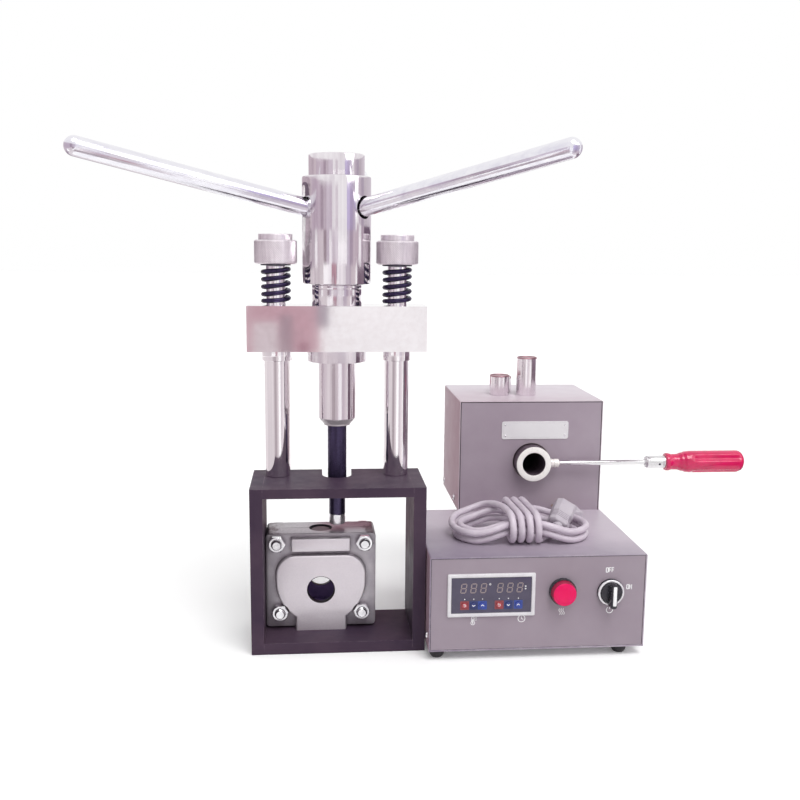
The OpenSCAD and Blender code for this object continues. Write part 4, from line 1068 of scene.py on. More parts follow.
def make_ram():
    radius, foot, top = round_part("ram")
    neck = extent("hub_thrust_washers")[0].z
    lip = foot + RAM_LIP
    shoulder = lip + RAM_BEVEL
    ram = Shape().lathe([(0, foot), (radius - RAM_BEVEL, foot, 0.5), (radius - RAM_BEVEL, lip, 0.2),
        (radius - RAM_BEVEL + 0.9, lip, 0.2), (radius, shoulder), (0, shoulder)], soft=0.4, steps=128,
        finish=1)
    ram.lathe([(0, shoulder), (radius - 0.3, shoulder), (radius, shoulder + 0.4), (radius, neck),
        (RAM_NECK_R, neck), (RAM_NECK_R, top, 1), (0, top)], soft=0.2, steps=128)
    ram.piece("press_ram", ["chrome", "satin_alloy"], "ram_unit", "chrome_steel", ("ram",))
    rod_r, tip, end = round_part("push_rod")
    step = extent("top_plate")[0].z + 4
    rod = Shape().lathe([(0, tip), (ROD_TIP_R, tip, 1.2), (ROD_TIP_R, step - 2), (rod_r, step),
        (rod_r, foot), (SPIGOT_R, foot), (SPIGOT_R, end), (0, end)], steps=80)
    rod.piece("push_rod_bar", "rod_steel", "ram_unit", "spring_steel", ("push_rod",))
    dress("ram_nut", "zinc", 0.4)
    dress("hub_thrust_washers", "bronze", 0.2)


def make_beam():
    dress("crossbeam", "beam_steel", 1.0, 3)
    flange_r, foot, top = round_part("guide_tube")
    low, high = extent("crossbeam")
    bore = extent("ram")[1].x + FIT
    tube = Shape().lathe([(bore, foot, 0.6), (flange_r, foot, 1.6), (flange_r, low.z), (GUIDE_R, low.z),
        (GUIDE_R, top, 0.8), (bore, top, 0.6), (bore, foot, 0.6)], steps=128)
    flats = Shape().stack(fixed(rounded_rect(4 * flange_r, high.y - low.y, 0.5)),
        [(0, foot - 1), (0, top + 1)])
    obj = combine(tube.build("flanged_tube"), flats.build("flats"), "INTERSECT")
    finish_piece(bevelled(obj, 0.3), "turned_steel", "beam", "beam_steel", ("guide_tube",))
    outer, foot, top = round_part("lock_ring")
    bore, groove = GUIDE_R + 0.05, outer - 0.35
    collar = Shape().lathe([(bore, foot), (outer, foot, 0.4), (outer, top - 4.6, 0.2),
        (groove, top - 4.3, 0.2), (groove, top - 3.9, 0.2), (outer, top - 3.6, 0.2), (outer, top, 0.7),
        (bore, top, 0.4), (bore, foot)], steps=128)
    collar.piece("collar_ring", "chrome", "beam", "beam_steel", ("lock_ring",))


def spoke_places():
    root = extent("hub")[1].z - SPOKE_DROP
    slope = spin(-SPOKE_SLOPE, "Y")
    return [at(0, 0, root, spin(SPOKE_TURN + 120 * k, "Z") @ slope @ ALONG_X) for k in range(3)]


def make_hub():
    radius, foot, top = round_part("hub")
    bore, neck, roof = GUIDE_R + FIT, RAM_NECK_R + 0.1, top - HUB_ROOF
    hub = Shape().lathe([(bore, foot, 0.5), (radius, foot, 1.0), (radius, top, 2.2), (neck, top),
        (neck, roof), (bore, roof), (bore, foot, 0.5)], soft=0.4, steps=192)
    obj = hub.build("spoke_hub")
    # The walls of the spoke seats take the second finish, painted shade in the holes.
    for place in spoke_places():
        seat = Shape().cylinder(SPOKE_HOLE_R, SPOKE_SEAT, 3 * radius, place, 96, 1)
        spigot = Shape().cylinder(SPOKE_SPIGOT_R + 0.05, SPOKE_SEAT - 5.4, SPOKE_SEAT + 1, place, 48, 1)
        combine(combine(obj, seat.build("seat")), spigot.build("spigot"))
    finish_piece(obj, ["chrome", "hole_dark"], "hub_unit", "chrome_steel", ("hub",))
    radius, foot, top = round_part("hub_cap")
    inside, roof = radius - CAP_WALL, top - CAP_TOP
    cap = Shape().lathe([(inside, foot), (radius, foot, 0.6), (radius, top, 1.9), (0, top), (0, roof),
        (inside, roof), (inside, foot)], steps=160)
    cap.piece("hub_cap_turned", "chrome", "hub_unit", "chrome_steel", ("hub_cap",))
    bars = Shape()
    dome = [(r, SPOKE_REACH + h, 0) for r, h in arc_points(SPOKE_R, 0, 90, 6)]
    for place in spoke_places():
        bars.lathe([(0, SPOKE_SEAT - 5), (SPOKE_SPIGOT_R, SPOKE_SEAT - 5), (SPOKE_SPIGOT_R, SPOKE_SEAT),
            (SPOKE_R, SPOKE_SEAT, 0.8)] + dome, place, 0.4, 80)
    bars.piece("spoke_bars", "chrome_bar", "hub_unit", "chrome_steel", ("spokes",))


def make_frame():
    for node in ("base_plate", "side_plates", "top_plate"):
        dress(node, "frame_paint", 0.9, 3)
    dress("frame_screws", "oxide_steel", 0.3)


# Flask

FLASK_W = 117
HALF_T = 22
PANEL_OUT = 29
EAR_Z = 2
PANEL_R = 22
PANEL_C = (26.5, 61.5)
PANEL_ROUND_R = 48.5
PANEL_ROUND_Z = 54
POCKET_R = 10.2
FOOT_HALF_W = 27.5
FOOT_TOP = 11
PAD_HALF_W = 32
PAD_Z = (86, 102)
CAVITY_INSET = 6
WINDOW = (45, 14)
FILLING_R = 11
BOLT_AT = ((46.5, 95.5), (43.5, 19.5))
BOLT_R = 5
BOLT_PITCH = 1.5
NUT_AF = 16
NUT_H = 8
HEAD_H = 6.4
TAIL = 4


def fixed(outline):
    """An outline that doesn't change with the inset."""
    return lambda inset: outline


def panel_outline(inset, foot=0.0):
    """The raised panel: round shoulders, and a round lower part that meets the foot."""
    r, low_r, foot_w = PANEL_R - inset, PANEL_ROUND_R - inset, FOOT_HALF_W - inset
    start = math.acos(foot_w / low_r)
    low_arc = [-start * (1 - k / 18) for k in range(19)]
    right = [(foot_w, foot)]
    right += [(x, PANEL_ROUND_Z + z) for x, z in (polar(low_r, a) for a in low_arc)]
    right += [(PANEL_C[0] + x, PANEL_C[1] + z) for x, z in (polar(r, math.pi / 2 * k / 14)
        for k in range(15))]
    return right + [(-x, y) for x, y in reversed(right)]


def make_flask():
    low, high = extent("flask_front")
    height = high.z - low.z
    centre = middle("flask_front")[0]
    plate = shrinking(FLASK_W, height - EAR_Z, 4, dy=(height + EAR_Z) / 2)
    half = Shape().stack(plate, [(0.5, 0), (0, 0.5), (0, HALF_T - 1.2), (0.4, HALF_T - 0.35),
        (1.2, HALF_T)]).build("half")
    panel = Shape().stack(panel_outline, [(0, 1), (0, HALF_T + 0.6), (1.0, PANEL_OUT - 1.6),
        (1.3, PANEL_OUT - 0.7), (1.9, PANEL_OUT - 0.2), (2.8, PANEL_OUT)])
    pad_outline = shrinking(2 * PAD_HALF_W, PAD_Z[1] - PAD_Z[0], 1.2, 0, sum(PAD_Z) / 2, 3, 0)
    pad = Shape().stack(pad_outline, [(0, HALF_T - 2), (0.1, HALF_T), (0.9, PANEL_OUT - 1.2),
        (1.3, PANEL_OUT - 0.4), (2.0, PANEL_OUT)])
    for extra in (panel, pad):
        combine(half, extra.build("extra"), "UNION")
    cavity = Shape().stack(lambda i: panel_outline(CAVITY_INSET, FOOT_TOP + CAVITY_INSET),
        [(0, -1), (0, PANEL_OUT - CAVITY_INSET)], finish=1)
    # The walls of the window and the filling hole take the third finish, painted shade in the holes.
    window = Shape().lathe([(0, -2), (WINDOW[1], -2), (WINDOW[1], PANEL_OUT - 0.9),
        (WINDOW[1] + 1, PANEL_OUT + 0.1), (WINDOW[1] + 1, PANEL_OUT + 2), (0, PANEL_OUT + 2)],
        at(0, WINDOW[0], 0), 0.3, 96, 2)
    filling = Shape().lathe([(0, PANEL_C[1]), (FILLING_R, PANEL_C[1]), (FILLING_R, height - 1.6),
        (FILLING_R + 1.6, height + 0.1), (FILLING_R + 1.6, height + 2), (0, height + 2)],
        spin(-90, "X"), 0, 96, 2)
    cuts = [cavity, window, filling]
    spots = [(side * x, y) for side in (-1, 1) for x, y in BOLT_AT]
    for spot in spots:
        place = at(*spot, 0)
        cuts.append(Shape().cylinder(POCKET_R, HALF_T + 0.01, PANEL_OUT + 1, place))
        cuts.append(Shape().cylinder(BOLT_R + 0.3, -1, HALF_T + 1, place, 48))
    for cut in cuts:
        combine(half, cut.build("cut"))
    rear = bpy.data.objects.new("flask_casting_rear", half.data.copy())
    SCENE.collection.objects.link(rear)
    half.name = "flask_casting_front"
    turned = spin(180, "Z") @ FRONT
    for obj, way, node in ((half, FRONT, "flask_front"), (rear, turned, "flask_rear")):
        finish_piece(bevelled(move(obj, at(centre, 0, low.z, way)), 0.45),
            ["cast_alloy", "flask_inside", "hole_dark"], "flask", "flask_alloy", (node,), 38)
    plug = Shape().lathe([(0, height - 14), (FILLING_R - 0.5, height - 14),
        (FILLING_R - 0.5, height - 1.8, 1.2), (FILLING_R - 3, height - 1.2, 1), (0, height - 1.4)],
        at(centre, 0, low.z), 0.4, 64)
    plug.piece("resin_plug", "resin", "flask", "flask_alloy")
    for number, (x, y) in enumerate(spots):
        bolt = move(make_bolt(f"flask_bolt_{number + 1}"), at(centre + x, 0, low.z + y, FRONT))
        finish_piece(bolt, "zinc", "flask", "zinc_steel", ("flask_bolts",), 30)


def hexagon(af):
    return arc_points(af / 2 / math.cos(math.pi / 6), 0, 300, 60)


def hex_piece(name, low, high):
    """A hexagon bar whose corners are turned off at both ends."""
    crown = NUT_AF / 2 / math.cos(math.pi / 6) + 0.1
    face = NUT_AF / 2 - 0.2
    drop = 0.9
    profile = [(0, low), (face, low), (crown, low + drop), (crown, high - drop), (face, high), (0, high)]
    obj = Shape().stack(fixed(hexagon(NUT_AF)), [(0, low), (0, high)]).build(name)
    return combine(obj, Shape().lathe(profile, soft=0, steps=96).build("crown"), "INTERSECT")


def make_bolt(name):
    """A through bolt with its head at the rear and a nut in front."""
    nut = hex_piece(name, HALF_T, HALF_T + NUT_H)
    hole = Shape().lathe([(0, HALF_T - 1), (BOLT_R + 0.05, HALF_T - 1),
        (BOLT_R + 0.05, HALF_T + NUT_H - 0.9), (BOLT_R + 1.0, HALF_T + NUT_H + 0.05),
        (BOLT_R + 1.0, HALF_T + NUT_H + 1), (0, HALF_T + NUT_H + 1)], soft=0, steps=64)
    combine(nut, hole.build("hole"))
    head = hex_piece("head", -HALF_T - HEAD_H, -HALF_T)
    shank = Shape()
    steps = 40
    end = HALF_T + NUT_H + TAIL
    rings = [ring(BOLT_R, -HALF_T - 1, steps), ring(BOLT_R, HALF_T, steps)]
    rows = round((end - HALF_T) / 0.25)
    for i in range(rows + 1):
        z = HALF_T + (end - HALF_T) * i / rows
        row = []
        for k in range(steps):
            a = 2 * math.pi * k / steps
            cut = abs((z / BOLT_PITCH - k / steps) % 1 - 0.5) * 2
            r = min(BOLT_R - 0.7 * cut, BOLT_R - 0.9 + max(0, end - z))
            row.append((*polar(r, a), z))
        rings.append(row)
    shank.loft(rings)
    for extra in (head, shank.build("shank")):
        merge(nut, extra)
    return nut


# Heater: control box, furnace and their panel

PANEL_Y = extent("front_panel")[0].y
FURNACE_Y = extent("furnace_ends")[0].y
SHEET = 1.5
BEND_R = 2.2
SEAM_W = 0.9
MOUTH = (229.8, 170)
FEET_AT = ((101, -75), (101, 75), (294, -75), (294, 75), (185, 180), (280, 180))
CASE_SCREWS_AT = ((-73, 22), (65, 22))
FURNACE_SCREWS_AT = ((110, 119), (197, 119))
LAMP_AT = (228, 72)
SELECTOR_AT = (278.5, 70)
RING_R = 14
BEZEL_OUT = 2.2
BEZEL_RIM = 3.8
BEZEL_DEEP = 4
WINDOW_OUT = 1.4
KEY_OUT = 2.4
KEY_R = 3
KEY_FIELDS = ("red", "dark", "blue")
DIGITS_AT = (125.8, 136, 146.2, 163.2, 173.4, 183.6)
DIGIT_Z = 77.4
DIGIT_HALF = (2.55, 4.7)
DIGIT_SLANT = 0.14
SEGMENT_T = 1.05
NAME_PLATE = (233.4, 207.3, 79, 21)
THERMOMETER_AT = (136, 42.6)
CLOCK_AT = (186.4, 43.4)
HEAT_AT = (226, 49.8)
POWER_AT = (278.5, 50.4)
WORDS = (("OFF", 277.3, 93.4), ("ON", 298.2, 74.9))
LENS_R = 12.9
SWITCH_L = 14
SWITCH_NECK_R = 11
SWITCH_BORE = 6.4


def on_front(x, z, y=PANEL_Y):
    """A place on an upright face: local +Z points to the front and Y up."""
    return at(x, y, z, FRONT)


def make_cover(name, node, finish):
    """Sheet folded down at both sides."""
    low, high = extent(node)
    outline = soften([(low.x, low.z, 0), (low.x, high.z), (high.x, high.z), (high.x, low.z, 0),
        (high.x - SHEET, low.z, 0), (high.x - SHEET, high.z - SHEET, 0.7),
        (low.x + SHEET, high.z - SHEET, 0.7), (low.x + SHEET, low.z, 0), (low.x, low.z)], BEND_R, 8)[:-1]
    cover = Shape().slab(outline, -high.y, -low.y, FRONT).build(name)
    finish_piece(bevelled(cover, 0.35, 2, 50), finish, "heater", "case_paint", (node,))


def make_seams():
    """A dark strip of painted shade in the fine gap between each front sheet and the cover round it."""
    gaps = Shape()
    for cover, front in (("case_cover", "front_panel"), ("furnace_cover", "furnace_ends")):
        low, high = extent(cover)
        foot = extent(front)[0]
        left, right, top = low.x + SHEET, high.x - SHEET, high.z - SHEET
        path = [(left, foot.z), (left, top), (right, top), (right, foot.z)]
        gaps.stroke(path, SEAM_W, -0.2, 0.06, at(0, foot.y, 0, FRONT))
    gaps.piece("sheet_seams", "hole_dark", "heater", "case_paint")


def make_screws():
    """Pan heads with a cross recess, on both sides of the covers."""
    head = Shape().lathe([(0, 0), (3.5, 0, 0), (3.5, 0.9, 0.9), (2.4, 1.8, 1.2), (0, 2)], steps=40)
    head = head.build("cover_screw_set")
    for w, l in ((0.9, 4.2), (4.2, 0.9)):
        combine(head, Shape().slab(rounded_rect(w, l, 0.2, 2), 0.8, 3).build("recess"))
    places = []
    for node, spots in (("case_cover", CASE_SCREWS_AT), ("furnace_cover", FURNACE_SCREWS_AT)):
        low, high = extent(node)
        for i, (y, z) in enumerate(spots):
            twist = Matrix.Rotation(0.5 + 0.9 * i, 4, "Z")
            places += [at(low.x, y, z, ALONG_X.inverted() @ twist), at(high.x, y, z, ALONG_X @ twist)]
    finish_piece(repeat(head, places), "zinc", "heater", "zinc_steel", ("case_screws",), 40)


def make_feet():
    top = extent("case_feet")[1].z
    feet = Shape()
    for x, y in FEET_AT:
        feet.lathe([(0, 0), (5.6, 0, 0.8), (7.6, 3.0, 2.2), (8, top, 0.3), (0, top)], at(x, y, 0), 0.6, 56)
    feet.piece("rubber_feet", "rubber", "heater", "foot_rubber", ("case_feet",))


def make_name_plate():
    """A blank plate with a fine sunk line and four rivets."""
    x, z, w, h = NAME_PLATE
    plate = Shape().stack(shrinking(w, h, 2.4, shrink=1), [(0, 0), (0, 0.55), (0.25, 0.8), (1.5, 0.8),
        (1.6, 0.62), (1.9, 0.62), (2.0, 0.8)], on_front(x, z, FURNACE_Y))
    for sx in (-1, 1):
        for sz in (-1, 1):
            plate.lathe([(0, 0.7), (1.2, 0.7, 0), (1.1, 1.05, 0.3), (0, 1.3)],
                on_front(x + sx * (w / 2 - 4.2), z + sz * (h / 2 - 4.2), FURNACE_Y), steps=24, finish=1)
    plate.piece("blank_name_plate", ["plate_white", "zinc"], "heater", "zinc_steel")


def make_box():
    make_cover("folded_case_cover", "case_cover", "case_paint")
    make_cover("folded_furnace_cover", "furnace_cover", "furnace_paint")
    # The case's front panel and the furnace ends take the darker enamels that paint their shade.
    for node, finish, rounding in (
            ("front_panel", "panel_paint", 0.3), ("case_base", "case_paint", 0.3),
            ("rear_stand", "case_paint", 0.3), ("furnace_chassis", "case_paint", 0.3),
            ("furnace_ends", "furnace_front_shaded_paint", 0.3), ("insulation", "ceramic", 0),
            ("heating_tube", "heat_steel", 0.4), ("heater_winding", "winding", 0.6),
            ("thermocouple", "heat_steel", 0.2), ("transformer", "laminations", 0.6),
            ("control_board", "circuit_board", 0.1), ("mains_inlet", "black_plastic", 0.5)):
        dress(node, finish, rounding)
    make_seams()
    make_screws()
    make_feet()
    make_name_plate()
    middle_x, middle_z = middle("mains_inlet", "xz")
    rear = extent("mains_inlet")[1].y
    pins = Shape()
    for x, z in ((-7, -4.2), (7, -4.2), (0, -0.2)):
        pins.stack(shrinking(2.2, 4.2, 0.7), [(0, 15 - rear), (0, 2.6 - rear), (0.5, 2 - rear)],
            at(middle_x + x, 0, middle_z + z, FRONT))
    pins.piece("inlet_pins", "lead_metal", "heater", "zinc_steel")


def make_display():
    low, high = extent("display_bezel")
    outline = shrinking(high.x - low.x, high.z - low.z, 1.3)
    levels = [(0, 0), (0, BEZEL_OUT - 0.7), (0.2, BEZEL_OUT - 0.25), (0.7, BEZEL_OUT),
        (BEZEL_RIM - 0.9, BEZEL_OUT), (BEZEL_RIM - 0.2, BEZEL_OUT - 0.3), (BEZEL_RIM, BEZEL_OUT - 0.8),
        (BEZEL_RIM, -BEZEL_DEEP), (1.6, -BEZEL_DEEP), (1.6, 0)]
    rings = [[(px, py, level) for px, py in outline(inset)] for inset, level in levels]
    bezel = Shape().loft(rings, loop=True, place=on_front(*middle("display_bezel", "xz")))
    bezel.piece("bezel_frame", "white_plastic", "heater", "white_plastic", ("display_bezel",), 40)
    dress("display_window", "window_plastic")
    digits = Shape()
    w, h = DIGIT_HALF
    bars = [((-w, h), (w, h)), ((-w, 0), (w, 0)), ((-w, -h), (w, -h))]
    bars += [((sx * w, sy * h), (sx * w, 0)) for sx in (-1, 1) for sy in (-1, 1)]
    for place in DIGITS_AT:
        for a, b in bars:
            digits.slab(bar_outline(Vector(a), Vector(b)), WINDOW_OUT, WINDOW_OUT + 0.08,
                on_front(place, DIGIT_Z))
    for x, z, r in ((152.8, 81.4, 0.75), (189.4, 78.6, 0.55), (189.4, 76.0, 0.55)):
        dot = arc_points(r, 0, 340, 20)
        digits.stroke(dot, 0.5, WINDOW_OUT, WINDOW_OUT + 0.08, on_front(x, z), True, 1)
    digits.piece("display_digits", ["digit_grey", "print_white"], "heater", "white_plastic")


def bar_outline(a, b):
    """One segment of a digit: a bar with pointed ends, slanted with the digit."""
    way = (b - a).normalized()
    side = Vector((-way.y, way.x)) * SEGMENT_T / 2
    tip = way * SEGMENT_T / 2
    a, b = a + 0.2 * way, b - 0.2 * way
    corners = [a, a + tip - side, b - tip - side, b, b - tip + side, a + tip + side]
    return [(c.x + DIGIT_SLANT * c.y, c.y) for c in corners]


def make_keys():
    """Six keys, each in a coloured field with a lamp dot above it."""
    fields = Shape()
    for number in range(6):
        node = f"key_{number + 1}"
        kind = number % 3
        place = on_front(*middle(node, "xz"))
        outer = rounded_rect(9.1, 9.1, 0.5)
        hole = [p[:2] for p in ring(KEY_R + 0.3, 0, len(outer))]
        levels = ((outer, 0), (outer, 0.12), (hole, 0.12), (hole, 0))
        rings = [[(px, py, WINDOW_OUT + level) for px, py in line] for line, level in levels]
        fields.loft(rings, True, place, kind)
        fields.lathe([(0, WINDOW_OUT), (0.55, WINDOW_OUT, 0), (0.55, WINDOW_OUT + 0.1),
            (0, WINDOW_OUT + 0.1)], place @ at(0, 6.6, 0), 0.05, 16, 3)
        back = PANEL_Y - extent(node)[1].y
        cap = Shape().lathe([(0, back), (KEY_R, back, 0.2), (KEY_R, KEY_OUT, 0.5),
            (KEY_R - 1.2, KEY_OUT - 0.12), (0, KEY_OUT - 0.16)], place, 0.4, 48)
        cap.join(key_icon(kind), place @ at(0, 0, KEY_OUT - 0.17), 1)
        cap.piece(f"key_cap_{number + 1}", [f"key_{KEY_FIELDS[kind]}", "print_white"],
            f"key_body_{number + 1}", ("red_plastic", "blue_plastic", "blue_plastic")[kind],
            (node,))
    fields.piece("key_fields", [f"field_{kind}" for kind in KEY_FIELDS] + ["print_white"], "heater",
        "blue_plastic")


def key_icon(kind):
    """Enter mark, chevron down or chevron up."""
    icon = Shape()
    if kind == 0:
        icon.stroke(arc_points(1.15, -150, 120, 15), 0.5, 0, 0.1)
        icon.slab([(-1.9, 1.0), (-0.3, 0.35), (-0.55, 1.75)], 0, 0.1)
    else:
        up = 1 if kind == 2 else -1
        icon.stroke([(-1.5, -0.55 * up), (0, 0.75 * up), (1.5, -0.55 * up)], 0.75, 0, 0.1)
    return icon


def make_legends():
    """White print on the panel: plain pictures, and the two words of the switch."""
    prints = Shape()

    def line(spot, path, width=0.6, closed=False, size=1.45):
        path = [(size * px, size * py) for px, py in path]
        prints.stroke(path, size * width, 0, 0.07, on_front(*spot), closed)

    bulb = [(x, y - 1.9) for x, y in arc_points(1.35, 130, 410, 20)]
    line(THERMOMETER_AT, bulb + [(x, y + 2.0) for x, y in arc_points(0.8, 0, 180, 20)], 0.45, True)
    line(THERMOMETER_AT, [(0, -2.4), (0, 0.9)], 0.75)
    for k in range(3):
        line(THERMOMETER_AT, [(1.7, 0.2 + 0.95 * k), (2.7, 0.2 + 0.95 * k)], 0.3)
    line(CLOCK_AT, arc_points(2.5, 0, 345, 15), 0.5, True)
    line(CLOCK_AT, [(0, 1.6), (0, 0), (1.25, -0.7)], 0.45)
    wave = [(0.55 * math.sin(t / 10 * 2 * math.pi), -2.3 + 0.46 * t) for t in range(11)]
    for k in range(3):
        line((HEAT_AT[0] + 2.1 * k, HEAT_AT[1]), wave, 0.5)
    line(POWER_AT, arc_points(2.3, 125, 415, 29), 0.55)
    line(POWER_AT, [(0, 0.6), (0, 3.0)], 0.6)
    half, w = 2.15, 0.95
    loop = soften([(-w, -half), (w, -half), (w, half), (-w, half), (-w, -half)], 0.8, 4)[:-1]
    letters = {
        "O": [loop],
        "N": [[(-w, -half), (-w, half), (w, -half), (w, half)]],
        "F": [[(-w, -half), (-w, half), (w, half)], [(-w, 0), (0.7 * w, 0)]]}
    for word, x, z in WORDS:
        for i, letter in enumerate(word):
            for path in letters[letter]:
                line((x + 3.0 * (i - (len(word) - 1) / 2), z), path, 0.8, letter == "O", 1.1)
    prints.piece("panel_legends", "print_white", "heater", "white_plastic")


def make_lamp():
    place = on_front(*LAMP_AT)
    ring_piece = Shape().lathe([(0, 0), (RING_R, 0), (RING_R, 4.6, 0.8), (LENS_R, 4.8, 0.2),
        (LENS_R, 1.5), (0, 1.5)], place, 0.2, 96)
    ring_piece.piece("lamp_ring", "black_plastic", "heater", "black_plastic")
    # The lens's side wall takes the second finish, the darker red that paints its shade.
    lens = Shape().lathe([(0, 1.4), (LENS_R - 0.1, 1.4, 0.1), (LENS_R, 2.4, 0.2), (12.75, 8.6, 0.3),
        (12.3, 10.6, 0.8), (11.9, 11.1, 0.3), (0, 11.1)], place, 0.4, 128, 1)
    lens.lathe([(0, 11), (11.8, 11, 0), (11.6, 12.1, 0.6), (7, 12.8, 4), (0, 13)], place, 0.4, 128)
    low = extent("pilot_lamp")[1].y
    lens.lathe([(0, -1), (11, -1, 0), (11, PANEL_Y - low, 0.4), (0, PANEL_Y - low)], place, 0.2, 64, 2)
    lens.piece("lamp_lens", ["lamp_plastic", "lamp_rim", "black_plastic"], "heater", "red_plastic",
        ("pilot_lamp",))


def make_selector():
    place = on_front(*SELECTOR_AT)
    back = PANEL_Y - extent("selector_body")[1].y
    body = Shape().lathe([(SWITCH_BORE, -SWITCH_L), (SWITCH_BORE, 2.0, 0.1), (11.5, 2.0, 0.1),
        (11.5, 2.8, 0.1), (RING_R - 0.2, 2.8, 0.3), (RING_R, 0, 0.1), (SWITCH_NECK_R, 0, 0.1),
        (SWITCH_NECK_R, -SWITCH_L), (SWITCH_BORE, -SWITCH_L)], place, 0.2, 128, 1)
    body.lathe([(11.4, 2.4), (11.4, 3.8, 0.3), (11.9, 4.3, 0.2), (12.9, 4.3, 0.3), (13.6, 3.6, 0.3),
        (13.6, 2.4), (11.4, 2.4)], place, 0.2, 128)
    body.slab(rounded_rect(26, 26, 1.5), back, -12.5, place, 1)
    body.piece("selector_ring", ["ring_chrome", "black_plastic"], "heater", "chrome_steel",
        ("selector_body",))
    knob = Shape().lathe([(0, -12), (6, -12), (6, 2.3, 0), (11, 2.3, 0.2), (11, 5.2, 0.5), (10.2, 6, 0.4),
        (0, 6)], place, 0.3, 96)
    knob.stack(shrinking(7.2, 26, 2.6, dy=-1, steps=6), [(0, 5), (0, 6.5), (0.25, 12.8), (0.45, 14.2),
        (0.9, 15.1), (1.6, 15.5)], place)
    knob.stack(shrinking(3.6, 20.5, 0.9, 0.3, 0.2, shrink=0), [(0, 15.4), (0, 15.56), (0.15, 15.64)],
        place, 1)
    knob.slab(rounded_rect(1.8, 1.4, 0.2), 4.4, 6.08, place @ at(0.3, 9.3, 0), 1)
    knob.piece("selector_handle", ["black_plastic", "print_white"], "knob", "black_plastic",
        ("selector_knob",))


# Sleeve tool and cartridges

SLEEVE_BORE = 13.3
HANDLE_AT = (249.4, 66.5, 170)
HANDLE_R = 3
STEM_R = 5
STEM_L = 10.5
NECK_SMALL_R = 2.2
NECK_L = 13
HANDLE_L = 138
FERRULE_R = 7.4
FERRULE_L = 23.5
GRIP_L = 95
GRIP_R = 13
GRIP_DOME = 9
GRIP_WAIST = ((0, 9.6), (1.0, 10.4), (4, 10.4), (8, 9.4), (14, 9.4), (20, 11), (25, 12.4), (31, 13))
FLUTE_ANGLES = (-30, 60, 150, 240)
FLUTE_FROM = 28
FLUTE_TO = 90
FLUTE_DEPTH = 2.2
FLUTE_WIDTH = 24
RIM_H = 1.65


def make_sleeve():
    low, high = extent("injection_sleeve")
    outer, bore = (high.z - low.z) / 2, SLEEVE_BORE
    length, front = high.y - low.y, -low.y
    sleeve = Shape().lathe(
        [(bore, front, 0.9), (outer, front, 1.1), (outer, front - 14, 0.2), (outer - 0.2, front - 14.3, 0),
         (outer - 0.2, front - length, 0.8), (bore, front - length, 0.5), (bore, front, 0.9)],
        at(MOUTH[0], 0, MOUTH[1], FRONT), 0.3, 160)
    obj = sleeve.build("sleeve_body")
    handle = at(*HANDLE_AT, ALONG_X)
    seat = Shape().cylinder(STEM_R + 0.15, -0.3, 12, handle, 48)
    stub = Shape().cylinder(HANDLE_R + 0.1, -3.3, 1, handle, 32)
    combine(combine(obj, seat.build("seat")), stub.build("stub"))
    finish_piece(obj, "sleeve_alloy", "sleeve_tool", "sleeve_alloy", ("injection_sleeve",))


def make_handle():
    place = at(*HANDLE_AT, ALONG_X)
    end = HANDLE_L + 30
    rod = Shape().lathe(
        [(0, -3), (HANDLE_R, -3, 0.3), (HANDLE_R, 0), (STEM_R, 0, 0.6), (STEM_R, 3.2, 0.2),
         (STEM_R - 0.5, 3.6, 0.2), (STEM_R - 0.5, 4.6, 0.2), (STEM_R, 5.0, 0.2), (STEM_R, STEM_L, 0.9),
         (NECK_SMALL_R, STEM_L, 0.3), (NECK_SMALL_R, STEM_L + 2), (0, STEM_L + 2)], place, 0.2, 64, 1)
    rod.lathe(
        [(0, STEM_L + 1), (NECK_SMALL_R, STEM_L + 1), (NECK_SMALL_R, STEM_L + NECK_L - 4, 1.5),
         (HANDLE_R, STEM_L + NECK_L + 2, 2), (HANDLE_R, end), (0, end)], place, 0.2, 64)
    start = HANDLE_L - FERRULE_L
    rod.lathe([(HANDLE_R, start), (FERRULE_R - 1.4, start, 0.6), (FERRULE_R, start + 1.6, 1.2),
        (FERRULE_R, HANDLE_L - 3.5), (FERRULE_R - 0.35, HANDLE_L - 3.1),
        (FERRULE_R - 0.35, HANDLE_L - 2.4), (FERRULE_R, HANDLE_L - 2.0), (FERRULE_R, HANDLE_L),
        (HANDLE_R, HANDLE_L)], place, 0.15, 96)
    rod.piece("handle_rod", ["rod_chrome", "ivory_alloy"], "sleeve_tool", "chrome_steel",
        ("sleeve_handle",))
    spot = Shape().lathe([(0, -1), (1.5, -1, 0), (1.5, 0.1, 0.3), (0, 0.5)],
        at(HANDLE_AT[0] + HANDLE_L - 8, HANDLE_AT[1] - FERRULE_R + 0.2, HANDLE_AT[2] - 1, FRONT), 0.3, 28)
    spot.piece("ferrule_rivet", "oxide_steel", "sleeve_tool", "chrome_steel")


def grip_radius(length):
    """Outer radius of the grip at a distance from its front end."""
    if length >= GRIP_L - GRIP_DOME:
        rise = min(GRIP_DOME, length - GRIP_L + GRIP_DOME)
        return GRIP_R - GRIP_DOME + math.sqrt(max(0.0, GRIP_DOME ** 2 - rise ** 2))
    for (l0, r0), (l1, r1) in zip(GRIP_WAIST, GRIP_WAIST[1:]):
        if length <= l1:
            return r0 + (r1 - r0) * ease((length - l0) / (l1 - l0))
    return GRIP_R


